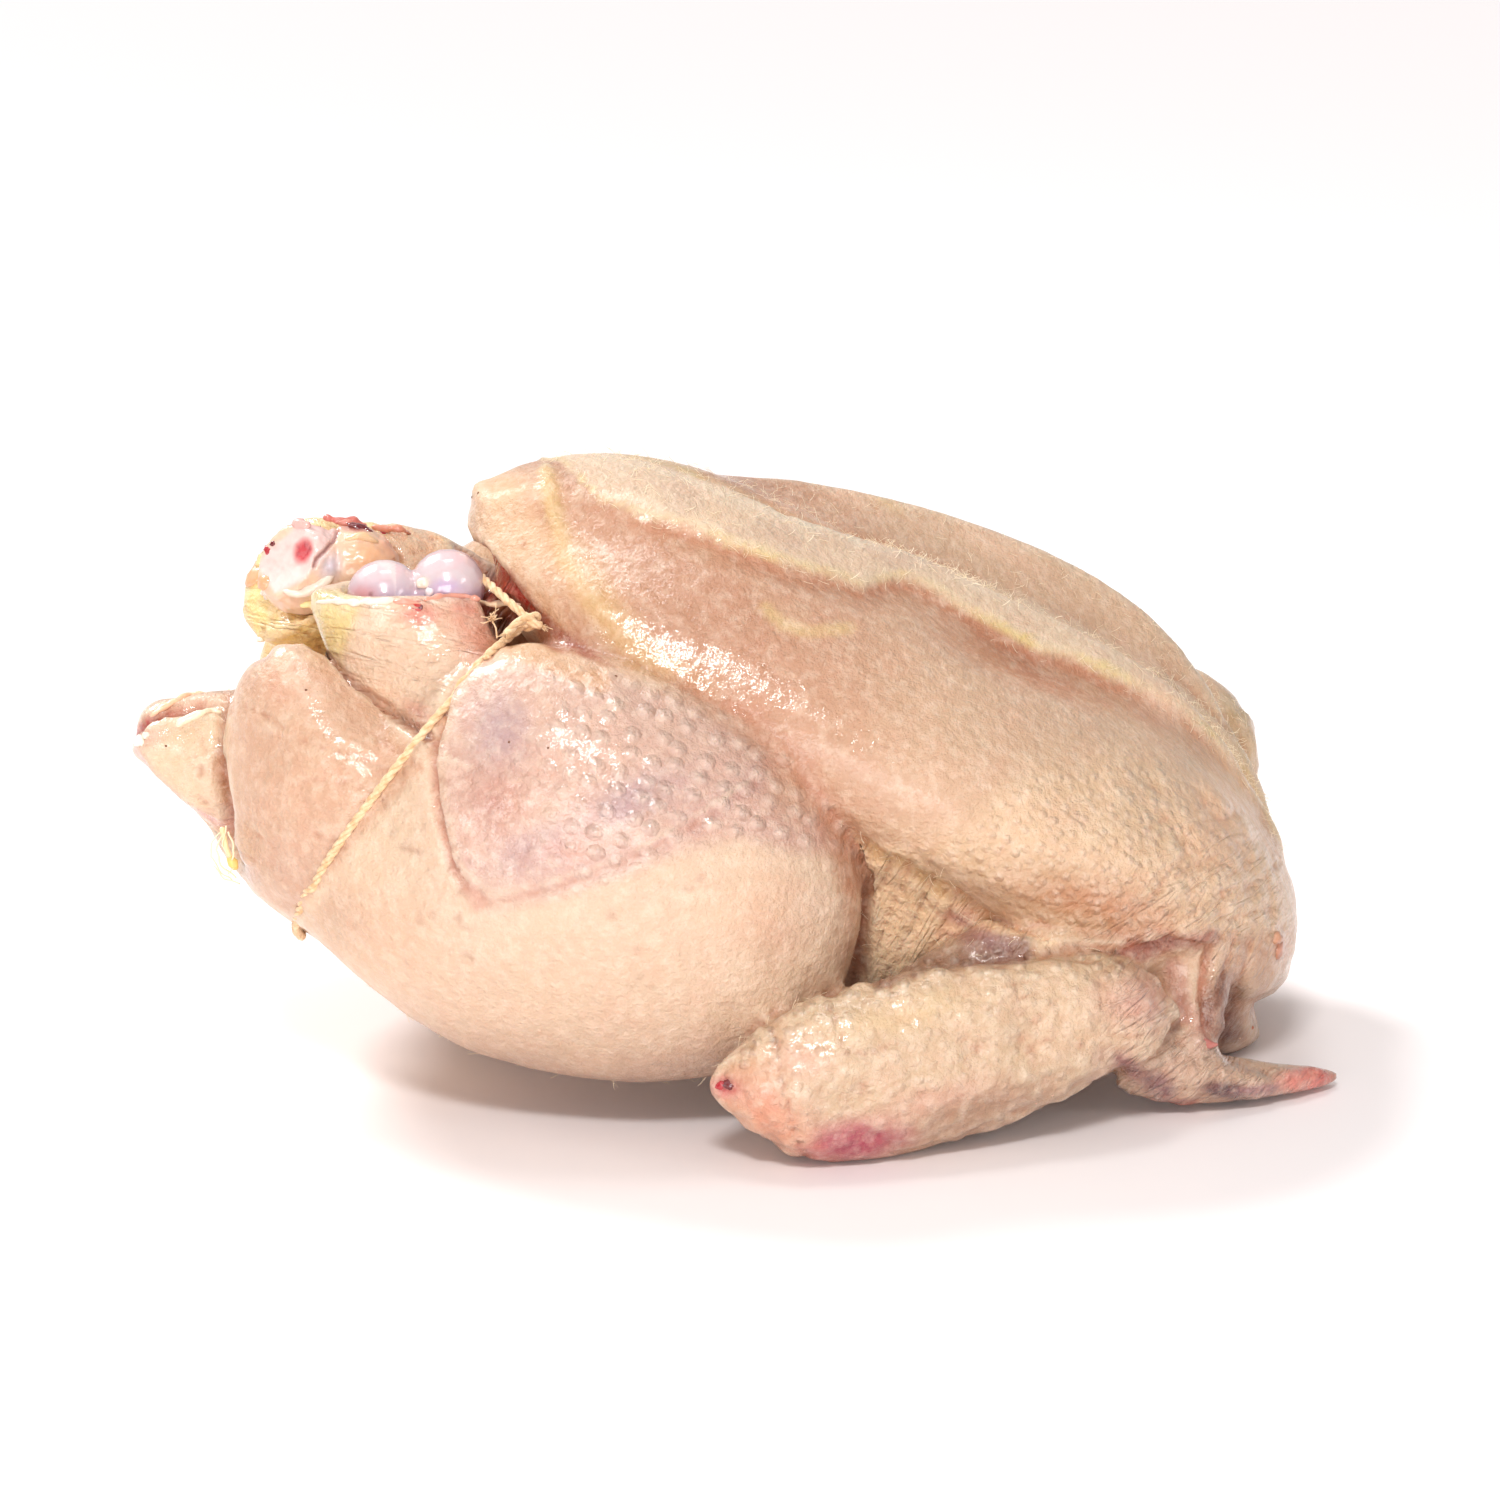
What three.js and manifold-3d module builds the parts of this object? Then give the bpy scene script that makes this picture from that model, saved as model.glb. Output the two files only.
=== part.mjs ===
// A whole raw chicken, plucked and dressed, lying on its back with its hocks and tail tied by one loop of string.
// Millimetres, +Z up. +X runs to the neck, -X to the tail, and the bird's left side faces -Y.
import * as THREE from "three";
import { mergeVertices } from "three/addons/utils/BufferGeometryUtils.js";
import Module from "manifold-3d";

const wasm = await Module();
wasm.setup();

// Driving dimensions

const ROLL_DEG = 6; // the trunk leans a little towards its left side
const ROLL_HEIGHT = 55; // height of the line that it leans about
const BONE_GAP = 0.35; // clearance between a bone and the flesh round it
const STRING_RADIUS = 1.4;
const STRING_GAP = 0.35; // clearance between the string and the skin that it presses in
const STRING_BITE = 0.9; // how far the string's centre line lies inside the skin's outline
const KNOT_HALF = [3.4, 2.6, 2.4];
const STRING_STEPS = 60;
const STRING_SIDES = 6;
const DOME_RINGS = 3; // rings in each rounded end of a limb

// Trunk profiles: pairs of x and a value there, in millimetres

const KEEL_TOP = [[-57, 123], [-55, 128], [-49, 132.5], [-39, 135], [-27, 135.5], [-5, 132], [17, 123.5],
  [33, 116], [62, 102], [84, 90.5], [103, 77], [117, 60], [126, 44], [129.5, 33], [130.5, 27]];
const UNDERSIDE = [[-57, 123], [-55, 119], [-50, 107], [-43, 98], [-36, 91], [-23, 79], [-10, 45], [0, 20],
  [14, 5], [30, -1], [105, -1], [118, 0], [124, 5], [127, 12], [129.5, 22], [130.5, 27]];
const HALF_WIDTH = [[-57, 0.5], [-55, 12], [-50, 22], [-40, 35], [-25, 45], [0, 55], [25, 63], [45, 67], [70, 67],
  [90, 63], [105, 55], [117, 42], [126, 25], [129.5, 10], [130.5, 0.5]];
const WIDEST_HEIGHT = [[-57, 123], [-50, 118], [-40, 113], [-25, 106], [0, 94], [25, 84], [45, 78], [70, 69],
  [90, 58], [105, 47], [118, 36], [130.5, 27]];
const NEAR_LOBE_DROP = [[-57, 0], [-50, 4], [-25, 6], [0, 4.5], [20, 4.5], [45, 4.5], [70, 5], [90, 5], [110, 3], [130.5, 0]];
const FAR_LOBE_DROP = [[-57, 0], [-50, 4], [-25, 6], [0, 2.5], [20, -3], [45, -8], [70, -11], [90, -12], [105, -12],
  [116, -10], [124, -5], [130.5, 0]];
const HOLLOW_DEPTH = [[-57, 0], [-45, 1.6], [0, 3], [20, 4.5], [60, 6], [100, 6], [120, 3], [130.5, 0]];
const KEEL_HALF_WIDTH = [[-57, 2], [-40, 9], [0, 7], [50, 4.5], [110, 3.5], [130.5, 2]]; // band of skin on the breastbone
const FOLD_HEIGHT = [[-57, 123], [-50, 112], [-40, 103], [-25, 92], [0, 78], [15, 73], [25, 68], [45, 59], [55, 52],
  [66, 47], [81, 42], [100, 34], [118, 20], [130.5, 27]];
const FOLD_DEPTH = [[-57, 0], [0, 2], [18, 5], [60, 6], [80, 7], [95, 6], [110, 3], [130.5, 0]];

const rad = THREE.MathUtils.degToRad;

// Value at x of a profile, eased between its pairs
function profile(pairs, x) {
  const last = pairs.length - 1;
  if (x <= pairs[0][0]) return pairs[0][1];
  if (x >= pairs[last][0]) return pairs[last][1];
  const i = pairs.findIndex((pair) => pair[0] > x) - 1;
  const slope = (a, b) => (pairs[b][1] - pairs[a][1]) / (pairs[b][0] - pairs[a][0]);
  const here = slope(i, i + 1);
  const before = i > 0 ? (slope(i - 1, i) + here) / 2 : here;
  const after = i + 2 <= last ? (here + slope(i + 1, i + 2)) / 2 : here;
  const span = pairs[i + 1][0] - pairs[i][0];
  const t = (x - pairs[i][0]) / span;
  const h = [2 * t ** 3 - 3 * t ** 2 + 1, t ** 3 - 2 * t ** 2 + t, 3 * t ** 2 - 2 * t ** 3, t ** 3 - t ** 2];
  return h[0] * pairs[i][1] + h[1] * span * before + h[2] * pairs[i + 1][1] + h[3] * span * after;
}

// Closed surface through rings of points, with a pole at each end
function skin(rings, start, end) {
  const around = rings[0].length;
  const points = [start, ...rings.flat(), end];
  const index = [];
  const at = (ring, k) => 1 + ring * around + (k % around);
  for (let k = 0; k < around; k++) {
    index.push(0, at(0, k + 1), at(0, k));
    index.push(points.length - 1, at(rings.length - 1, k), at(rings.length - 1, k + 1));
    for (let r = 0; r + 1 < rings.length; r++) {
      index.push(at(r, k), at(r, k + 1), at(r + 1, k));
      index.push(at(r, k + 1), at(r + 1, k + 1), at(r + 1, k));
    }
  }
  return new THREE.BufferGeometry().setFromPoints(points).setIndex(index);
}

// Solid of a closed geometry, with its faces turned out
function solid(geometry) {
  const bare = new THREE.BufferGeometry().setAttribute("position", geometry.getAttribute("position"));
  bare.setIndex(geometry.index);
  const merged = mergeVertices(bare, 1e-4);
  const make = (triVerts) => new wasm.Manifold(
    new wasm.Mesh({ numProp: 3, vertProperties: merged.attributes.position.array, triVerts }),
  );
  const triVerts = new Uint32Array(merged.index.array);
  const made = make(triVerts);
  if (made.volume() > 0) return made;
  for (let i = 0; i < triVerts.length; i += 3)
    [triVerts[i + 1], triVerts[i + 2]] = [triVerts[i + 2], triVerts[i + 1]];
  return make(triVerts);
}

function geometryOf(part) {
  const mesh = part.getMesh();
  return new THREE.BufferGeometry()
    .setAttribute("position", new THREE.BufferAttribute(new Float32Array(mesh.vertProperties), 3))
    .setIndex(new THREE.BufferAttribute(new Uint32Array(mesh.triVerts), 1));
}

const join = (...parts) => parts.reduce((a, b) => a.add(b));

const centreOf = (points) => points.reduce((sum, p) => sum.addScaledVector(p, 1 / points.length), new THREE.Vector3());

// A rounded limb through stations [x, y, z, radius in the side view, radius across], with a dome at each end
function limb(stations, { around = 18, along = 16, domes = [8, 8], across = [0, 1, 0], grow = 0 } = {}) {
  const line = new THREE.CatmullRomCurve3(stations.map((s) => new THREE.Vector3(s[0], s[1], s[2])));
  const sizes = new THREE.CatmullRomCurve3(stations.map((s) => new THREE.Vector3(s[3] + grow, s[4] + grow, 0)));
  const ring = (t, shift, scale) => {
    const tangent = line.getTangent(t);
    const lateral = new THREE.Vector3(...across).addScaledVector(tangent, -tangent.dot(new THREE.Vector3(...across)));
    lateral.normalize();
    const up = new THREE.Vector3().crossVectors(tangent, lateral);
    const size = sizes.getPoint(t);
    const centre = line.getPoint(t).addScaledVector(tangent, shift);
    return Array.from({ length: around }, (_, k) => {
      const angle = (2 * Math.PI * k) / around;
      return centre.clone()
        .addScaledVector(lateral, size.y * scale * Math.cos(angle))
        .addScaledVector(up, size.x * scale * Math.sin(angle));
    });
  };
  const [first, last] = domes.map((d) => d + grow);
  const rings = [];
  for (let k = DOME_RINGS - 1; k > 0; k--) {
    const turn = (Math.PI / 2) * (k / DOME_RINGS);
    rings.push(ring(0, -first * Math.sin(turn), Math.cos(turn)));
  }
  for (let k = 0; k <= along; k++) rings.push(ring(k / along, 0, 1));
  for (let k = 1; k < DOME_RINGS; k++) {
    const turn = (Math.PI / 2) * (k / DOME_RINGS);
    rings.push(ring(1, last * Math.sin(turn), Math.cos(turn)));
  }
  const start = line.getPoint(0).addScaledVector(line.getTangent(0), -first);
  const end = line.getPoint(1).addScaledVector(line.getTangent(1), last);
  return solid(skin(rings, start, end));
}

// An egg-shaped mass at a place, turned about the line across the bird
function mass([x, y, z], [rx, ry, rz], turnDeg = 0, rings = 14) {
  const ball = new THREE.SphereGeometry(1, rings * 2, rings).scale(rx, ry, rz);
  return solid(ball.rotateY(rad(turnDeg)).translate(x, y, z));
}

// Cuts off what lies beyond a plane
function trim(part, point, normal) {
  const size = 400;
  const box = new THREE.BoxGeometry(size, size, size).translate(0, 0, size / 2);
  const turn = new THREE.Quaternion().setFromUnitVectors(
    new THREE.Vector3(0, 0, 1),
    new THREE.Vector3(...normal).normalize(),
  );
  return part.subtract(solid(box.applyQuaternion(turn).translate(...point)));
}

// The trunk: breastbone ridge, hollow beside it, breast lobes, flank and back
function trunk(around = 38, along = 30) {
  const lean = rad(ROLL_DEG);
  const ring = (x) => {
    const top = profile(KEEL_TOP, x);
    const bottom = profile(UNDERSIDE, x);
    const wide = profile(HALF_WIDTH, x);
    const side = profile(WIDEST_HEIGHT, x);
    const hollow = top - profile(HOLLOW_DEPTH, x);
    const keel = Math.min(profile(KEEL_HALF_WIDTH, x), wide * 0.2);
    const fold = profile(FOLD_HEIGHT, x);
    const tuck = profile(FOLD_DEPTH, x);
    const half = (crest) => [
      [keel, top - 0.6],
      [Math.min(keel + 8, wide * 0.36), hollow],
      [wide * 0.52, crest - (top - side) * 0.12],
      [wide * 0.86, THREE.MathUtils.lerp(crest, side, 0.55)],
      [wide, side],
      [wide * 0.985 - tuck * 0.1, THREE.MathUtils.lerp(side, fold, 0.7)],
      [wide * 0.92 - tuck * 0.45, fold],
      [wide * 0.86 - tuck, fold - (fold - bottom) * 0.12],
      [wide * 0.8 - tuck, THREE.MathUtils.lerp(fold, bottom, 0.55)],
      [wide * 0.5, bottom + (side - bottom) * 0.04],
    ];
    const far = half(top - profile(FAR_LOBE_DROP, x));
    const near = half(top - profile(NEAR_LOBE_DROP, x)).map(([y, z]) => [-y, z]);
    const outline = [[0, top], ...far, [0, bottom], ...near.reverse()];
    const curve = new THREE.CatmullRomCurve3(outline.map(([y, z]) => new THREE.Vector3(x, y, z)), true);
    return Array.from({ length: around }, (_, k) => {
      const p = curve.getPoint(k / around);
      const height = p.z - ROLL_HEIGHT;
      return new THREE.Vector3(
        x,
        p.y * Math.cos(lean) - height * Math.sin(lean),
        ROLL_HEIGHT + p.y * Math.sin(lean) + height * Math.cos(lean),
      );
    });
  };
  const first = KEEL_TOP[0][0];
  const last = KEEL_TOP[KEEL_TOP.length - 1][0];
  const rings = Array.from({ length: along - 1 }, (_, k) => {
    const share = (1 - Math.cos((Math.PI * (k + 1)) / along)) / 2;
    return ring(first + (last - first) * share);
  });
  const pole = (points, x) => centreOf(points).setX(x);
  return solid(skin(rings, pole(rings[0], first), pole(rings[rings.length - 1], last)));
}

// Lower back and hips, from the tail's root to the ribs
function hips() {
  return limb(
    [[-98, 0, 60, 20, 24], [-82, 0, 50, 24, 32], [-60, 0, 42, 30, 38], [-35, 0, 36, 35, 44], [-5, 0, 38, 38, 48],
      [25, 0, 40, 36, 46]],
    { around: 18, along: 8, domes: [10, 12] },
  );
}

// A rounded mass of flesh through upright ovals [x, top, bottom, middle across, half the depth across], pointed at both ends
function flank(ovals, { around = 24, along = 22, side = 1, shift = 0 } = {}) {
  const column = (i) => ovals.map((oval) => [oval[0], oval[i]]);
  const [tops, bottoms, middles, depths] = [1, 2, 3, 4].map(column);
  const first = ovals[0][0];
  const last = ovals[ovals.length - 1][0];
  const ring = (x) => {
    const top = profile(tops, x);
    const bottom = profile(bottoms, x);
    return Array.from({ length: around }, (_, k) => {
      const angle = (2 * Math.PI * k) / around;
      return new THREE.Vector3(
        x + shift,
        side * (profile(middles, x) + profile(depths, x) * Math.cos(angle)),
        (top + bottom) / 2 + ((top - bottom) / 2) * Math.sin(angle),
      );
    });
  };
  const pole = (x) => new THREE.Vector3(x + shift, side * profile(middles, x), (profile(tops, x) + profile(bottoms, x)) / 2);
  const rings = Array.from({ length: along - 1 }, (_, k) => {
    const share = (1 - Math.cos((Math.PI * (k + 1)) / along)) / 2;
    return ring(first + (last - first) * share);
  });
  return solid(skin(rings, pole(first), pole(last)));
}

// Thigh and drumstick folded together: one full mass from the vent to the knee
const LEG_OVALS = [[-97, 52, 50, 34, 0.5], [-94.5, 61, 42, 35, 9], [-90, 70, 36.5, 36, 14], [-83, 79, 30, 38, 19],
  [-70, 91, 20, 42, 24], [-62, 98.5, 16, 45, 26], [-46, 105.5, 11.5, 49, 28], [-31, 103, 9.5, 52, 29],
  [-15, 97, 9.5, 53, 28.5], [2, 86.5, 13, 53.5, 26], [13, 76, 21, 53, 21], [20, 65, 29.5, 52, 14.5],
  [24, 56, 41, 52, 6], [24.8, 50, 47, 52, 0.5]];

// Skin of the belly drawn up beside the vent, over the foot of the drumstick
const FLAP_OVALS = [[-111, 70, 66, 22, 0.5], [-109.5, 81, 56, 23, 7], [-106, 92, 48, 25, 12], [-100, 99.5, 42, 28, 17],
  [-95, 101, 39, 30, 19.5], [-88, 97.5, 36, 32, 22], [-78, 89, 36, 35, 23], [-70, 81.5, 40, 38, 21],
  [-63, 74, 47, 40, 14], [-60, 66, 56, 40, 0.5]];

// One leg with the vent's skin beside it. side is -1 for the bird's left and 1 for its right.
function leg(side, shift) {
  return join(
    flank(LEG_OVALS, { around: 24, along: 20, side, shift }),
    flank(FLAP_OVALS, { around: 18, along: 14, side, shift: -shift }),
  );
}

// The skin left round a hock, cut off above the joint
const NEAR_HOCK = [[-56, -37, 82, 13, 14], [-63, -31, 92, 16, 14], [-69, -25, 101, 18.5, 13], [-72, -22, 114, 20, 13]];
const FAR_HOCK = [[-52, 34, 90, 13, 14], [-66, 27, 100, 13.5, 14], [-80, 20, 103, 14.5, 13.5], [-98, 15, 105, 14.5, 13.5]];

function hockSkin(stations, rim, rimNormal) {
  return trim(limb(stations, { around: 18, along: 6, domes: [8, 10] }), rim, rimNormal);
}

// The two rounded heads of the near shin bone, on a stub of its shaft
function nearBone(grow) {
  const head = (place, radius) => mass(place, [radius + grow, radius + grow, radius + grow], 0, 9);
  const shaft = limb([[-70, -24, 108, 7, 6], [-64, -30, 94, 6, 6]], { around: 10, along: 2, domes: [3, 3], grow });
  return join(head([-75, -22, 109.4], 8.4), head([-61.5, -22, 111.6], 8.2), shaft);
}

// The far shin bone: one head cut straight through to the marrow, and the other whole behind it
function farBone(grow) {
  const head = (place, [rx, ry, rz]) => mass(place, [rx + grow, ry + grow, rz + grow], 25, 8);
  const cutHead = trim(head([-92, 9, 109], [10, 9, 10.5]), [-95.5 - grow, 5.5 - grow, 111 + grow], [-0.66, -0.6, 0.45]);
  const shaft = limb([[-86, 16, 106, 8, 7], [-70, 22, 103, 7, 7]], { around: 10, along: 2, domes: [3, 3], grow });
  return join(cutHead, head([-80, 11, 109.5], [10, 8.5, 8.5]), shaft);
}

// The wing from its elbow to its wrist, which rests on the floor
const FOREARM_OVALS = [[-11.5, 20, 17, 84, 0.5], [-8, 24.5, 12.5, 84, 4.5], [-4.5, 27.5, 8.5, 84, 7.5],
  [1, 31, 4, 83.5, 10.5], [8, 34, 1, 83, 12], [18, 36.5, -1, 81, 13], [30, 39, -0.5, 79, 13.5],
  [42, 40.5, 1.5, 76.5, 13], [54, 41, 4.5, 73.5, 12.5], [66, 40.5, 8, 70.5, 12], [76, 38, 11.5, 67.5, 11],
  [84, 34, 15, 65.5, 9], [89, 29, 20, 64, 5], [91.5, 25.5, 23.5, 63.5, 0.5]];

// One wing: upper arm, forearm, hand and the web of skin from the shoulder
function wing(side, drop = 0) {
  const at = (list) => list.map(([x, y, z, r, d]) => [x, y * side, z + drop, r, d]);
  const upperArm = limb(at([[92, 44, 46, 15, 13], [52, 60, 27, 13, 12], [12, 72, 18, 13, 11]]), { around: 10, along: 4 });
  const forearm = flank(FOREARM_OVALS, { around: 18, along: 15, side });
  const hand = limb(
    at([[80, 60, 20, 10, 9], [87, 58, 11.5, 9.5, 9], [97, 57, 7.5, 7, 9.5], [109, 54, 5, 4.6, 7.5],
      [120, 50, 3.6, 3.1, 4.6], [128, 46.5, 2.6, 1.7, 2.4]]),
    { around: 10, along: 9, domes: [6, 2.5] },
  );
  const web = limb(at([[92, 36, 42, 14, 12], [97, 50, 28, 9, 8], [94, 57, 14, 7, 6]]), { around: 10, along: 4, domes: [6, 4] });
  return join(upperArm, forearm, hand, web);
}

// The fatty tail, with its root between the two flaps of vent skin
function tail() {
  return limb(
    [[-90, 0, 65, 23, 18], [-106, 0, 68, 18.5, 15.5], [-116, 0, 71.5, 13.5, 13], [-125.5, 0, 75, 8.5, 9.5]],
    { around: 16, along: 7, domes: [6, 4.5] },
  );
}

// Loose skin at the neck, and the right shoulder behind it
function neck() {
  return join(
    mass([112, -3, 18], [14, 22, 19], 0, 8),
    mass([107, 41, 50], [23, 20, 25], 0, 8),
  );
}

// Points where the outline of a mesh crosses a plane
function section(part, point, normal) {
  const position = geometryOf(part).toNonIndexed().getAttribute("position");
  const plane = new THREE.Plane().setFromNormalAndCoplanarPoint(normal, point);
  const points = [];
  const corner = (i) => new THREE.Vector3().fromBufferAttribute(position, i);
  for (let i = 0; i < position.count; i += 3) {
    for (const [a, b] of [[0, 1], [1, 2], [2, 0]]) {
      const hit = plane.intersectLine(new THREE.Line3(corner(i + a), corner(i + b)), new THREE.Vector3());
      if (hit) points.push(hit);
    }
  }
  return points;
}

// Convex outline of points in a plane, as a closed list in order
function hull(points) {
  const sorted = points.slice().sort((a, b) => a.x - b.x || a.y - b.y);
  const turn = (o, a, b) => (a.x - o.x) * (b.y - o.y) - (a.y - o.y) * (b.x - o.x);
  const half = (list) => {
    const kept = [];
    for (const p of list) {
      while (kept.length > 1 && turn(kept[kept.length - 2], kept[kept.length - 1], p) <= 0) kept.pop();
      kept.push(p);
    }
    return kept.slice(0, -1);
  };
  return [...half(sorted), ...half(sorted.slice().reverse())];
}

// The tight loop of string lies in two planes that meet at its knot and under the tail
const KNOT = new THREE.Vector3(-44.5, -28, 104);
const UNDER_TAIL = new THREE.Vector3(-93, -2, 27);
const NEAR_TURN = new THREE.Vector3(-97, -45, 46);
const FAR_TURN = new THREE.Vector3(-57, 10, 112);

// The way that a tight string takes round a body in a plane, from one point to another. side is -1 or 1, as for a leg.
function wrap(body, via, side) {
  const normal = new THREE.Plane().setFromCoplanarPoints(KNOT, UNDER_TAIL, via).normal;
  const across = new THREE.Vector3(0, 1, 0).addScaledVector(normal, -normal.y).normalize();
  const up = new THREE.Vector3().crossVectors(normal, across);
  const flat = [KNOT, UNDER_TAIL, ...section(body, KNOT, normal)].map((p) => {
    const from = p.clone().sub(KNOT);
    return new THREE.Vector2(from.dot(across), from.dot(up));
  });
  const outline = hull(flat).map((p) => KNOT.clone().addScaledVector(across, p.x).addScaledVector(up, p.y));
  const nearest = (goal) => outline.reduce((best, p, i) => (p.distanceTo(goal) < outline[best].distanceTo(goal) ? i : best), 0);
  const start = nearest(KNOT);
  const finish = nearest(UNDER_TAIL);
  const walk = (step) => {
    const way = [];
    for (let i = start; i !== finish; i = (i + step + outline.length) % outline.length) way.push(outline[i]);
    return [...way, outline[finish]];
  };
  const lean = (way) => (side * way.reduce((sum, p) => sum + p.y, 0)) / way.length;
  return [walk(1), walk(-1)].sort((a, b) => lean(b) - lean(a))[0];
}

function stringRoute(body) {
  const corners = [...wrap(body, NEAR_TURN, -1), ...wrap(body, FAR_TURN, 1).reverse()];
  const polygon = new THREE.CurvePath();
  corners.forEach((p, i) => {
    const next = corners[(i + 1) % corners.length];
    if (p.distanceTo(next) > 0.01) polygon.add(new THREE.LineCurve3(p, next));
  });
  const spaced = polygon.getSpacedPoints(STRING_STEPS).slice(0, STRING_STEPS);
  const centre = centreOf(spaced);
  return spaced.map((_, i) => {
    const smooth = centreOf([-2, -1, 0, 1, 2].map((k) => spaced[(i + k + STRING_STEPS) % STRING_STEPS]));
    return smooth.addScaledVector(centre.clone().sub(smooth).normalize(), STRING_BITE - STRING_RADIUS);
  });
}

function stringLoop(route, grow) {
  const count = route.length;
  const centre = centreOf(route);
  const rings = route.map((p, i) => {
    const tangent = route[(i + 1) % count].clone().sub(route[(i - 1 + count) % count]).normalize();
    const out = p.clone().sub(centre);
    out.addScaledVector(tangent, -out.dot(tangent)).normalize();
    const sideways = new THREE.Vector3().crossVectors(tangent, out);
    return Array.from({ length: STRING_SIDES }, (_, k) => {
      const angle = (2 * Math.PI * k) / STRING_SIDES;
      return p.clone()
        .addScaledVector(out, (STRING_RADIUS + grow) * Math.cos(angle))
        .addScaledVector(sideways, (STRING_RADIUS + grow) * Math.sin(angle));
    });
  });
  const index = [];
  const at = (r, k) => (r % count) * STRING_SIDES + (k % STRING_SIDES);
  for (let r = 0; r < count; r++) {
    for (let k = 0; k < STRING_SIDES; k++) {
      index.push(at(r, k), at(r, k + 1), at(r + 1, k));
      index.push(at(r, k + 1), at(r + 1, k + 1), at(r + 1, k));
    }
  }
  const loop = solid(new THREE.BufferGeometry().setFromPoints(rings.flat()).setIndex(index));
  const knot = mass(route[0].toArray(), KNOT_HALF.map((half) => half + grow), 40, 5);
  return join(loop, knot);
}

function material(color, roughness) {
  return new THREE.MeshStandardMaterial({ color, roughness, metalness: 0 });
}

const legsAndTail = join(
  hips(),
  leg(-1, 0),
  leg(1, -6),
  hockSkin(NEAR_HOCK, [-70, -22, 111.6], [0.02, 0.03, 1]),
  hockSkin(FAR_HOCK, [-94, 12, 107], [-0.74, -0.5, 0.45]),
  tail(),
);
const bird = trim(join(trunk(), legsAndTail, wing(-1), wing(1), neck()), [0, 0, 0], [0, 0, -1]);
const route = stringRoute(legsAndTail);
const carcass = bird
  .subtract(nearBone(BONE_GAP))
  .subtract(farBone(BONE_GAP))
  .subtract(stringLoop(route, STRING_GAP));

const pieces = [
  ["carcass", carcass, material(0xe9c9ab, 0.42)],
  ["near_shin_bone", nearBone(0), material(0xe3d3e0, 0.2)],
  ["far_shin_bone", farBone(0), material(0xf0d6d2, 0.35)],
  ["string", stringLoop(route, 0), material(0xe8cfa0, 0.85)],
];

const chicken = new THREE.Group();
for (const [name, part, look] of pieces) {
  const mesh = new THREE.Mesh(geometryOf(part), look);
  mesh.name = name;
  chicken.add(mesh);
}

// The origin is the middle of the footprint, on the floor
const box = new THREE.Box3().setFromObject(chicken);
const middle = box.getCenter(new THREE.Vector3());
for (const mesh of chicken.children) mesh.geometry.translate(-middle.x, -middle.y, -box.min.z);

export default chicken;
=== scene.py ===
# A whole raw chicken on its back, its hocks tied down with kitchen string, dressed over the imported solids.
# Shapes are worked out in millimetres and written to the meshes in metres.
import math

import bpy
import numpy as np
from mathutils import Matrix, Vector
from mathutils.bvhtree import BVHTree


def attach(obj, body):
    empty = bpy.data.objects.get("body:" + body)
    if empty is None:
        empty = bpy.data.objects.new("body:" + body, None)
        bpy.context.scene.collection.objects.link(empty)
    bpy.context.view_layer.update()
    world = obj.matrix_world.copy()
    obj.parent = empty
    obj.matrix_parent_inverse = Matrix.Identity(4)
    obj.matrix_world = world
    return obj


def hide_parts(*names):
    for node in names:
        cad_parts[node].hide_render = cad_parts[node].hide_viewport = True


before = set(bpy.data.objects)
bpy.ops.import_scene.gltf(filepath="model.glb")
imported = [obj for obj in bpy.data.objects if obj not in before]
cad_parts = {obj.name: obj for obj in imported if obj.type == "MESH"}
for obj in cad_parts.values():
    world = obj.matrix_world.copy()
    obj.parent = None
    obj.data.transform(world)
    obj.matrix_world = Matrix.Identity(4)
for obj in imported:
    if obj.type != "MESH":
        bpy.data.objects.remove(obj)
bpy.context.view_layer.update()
MM = 0.001

# Camera of the photograph: 4.5 pixels for each millimetre at the target

AZIMUTH = math.radians(-6)
ELEVATION = math.radians(15)
DISTANCE = 1100.0
TARGET = np.array([6.0, 0.0, 67.6])
PIXELS_PER_MM = 4.5
PHOTO_SIZE = 1500
SENSOR = 36.0

back = np.array([
    math.sin(AZIMUTH) * math.cos(ELEVATION),
    -math.cos(AZIMUTH) * math.cos(ELEVATION),
    math.sin(ELEVATION),
])
right = np.array([math.cos(AZIMUTH), math.sin(AZIMUTH), 0.0])
up = np.cross(back, right)
eye = TARGET + back * DISTANCE

camera = bpy.data.objects.new("camera", bpy.data.cameras.new("camera"))
bpy.context.scene.collection.objects.link(camera)
camera.location = Vector(eye * MM)
camera.rotation_mode = "QUATERNION"
camera.rotation_quaternion = Vector(-back).to_track_quat("-Z", "Y")
camera.data.sensor_width = SENSOR
camera.data.lens = PIXELS_PER_MM * DISTANCE * SENSOR / PHOTO_SIZE
camera.data.clip_start = 0.05
camera.data.clip_end = 20
bpy.context.scene.camera = camera


def photo_pixels(points):
    """Where points in millimetres stand in the photograph."""
    away = points - eye
    depth = -(away @ back)
    focal = PIXELS_PER_MM * DISTANCE
    middle = PHOTO_SIZE / 2
    return middle + focal * (away @ right) / depth, middle - focal * (away @ up) / depth


def sight(x, y):
    """The way from the eye to a photo pixel."""
    ray = right * (x - PHOTO_SIZE / 2) - up * (y - PHOTO_SIZE / 2) - back * PIXELS_PER_MM * DISTANCE
    return ray / np.linalg.norm(ray)


def at_depth(x, y, depth):
    """Place at a photo pixel, where y in millimetres is depth."""
    ray = sight(x, y)
    return eye + ray * (depth - eye[1]) / ray[1]


# Numbers and noise

def ease(value, low, high):
    """0 at low, 1 at high, smooth between; low may be the larger."""
    t = np.clip((value - low) / (high - low), 0, 1)
    return t * t * (3 - 2 * t)


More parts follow.
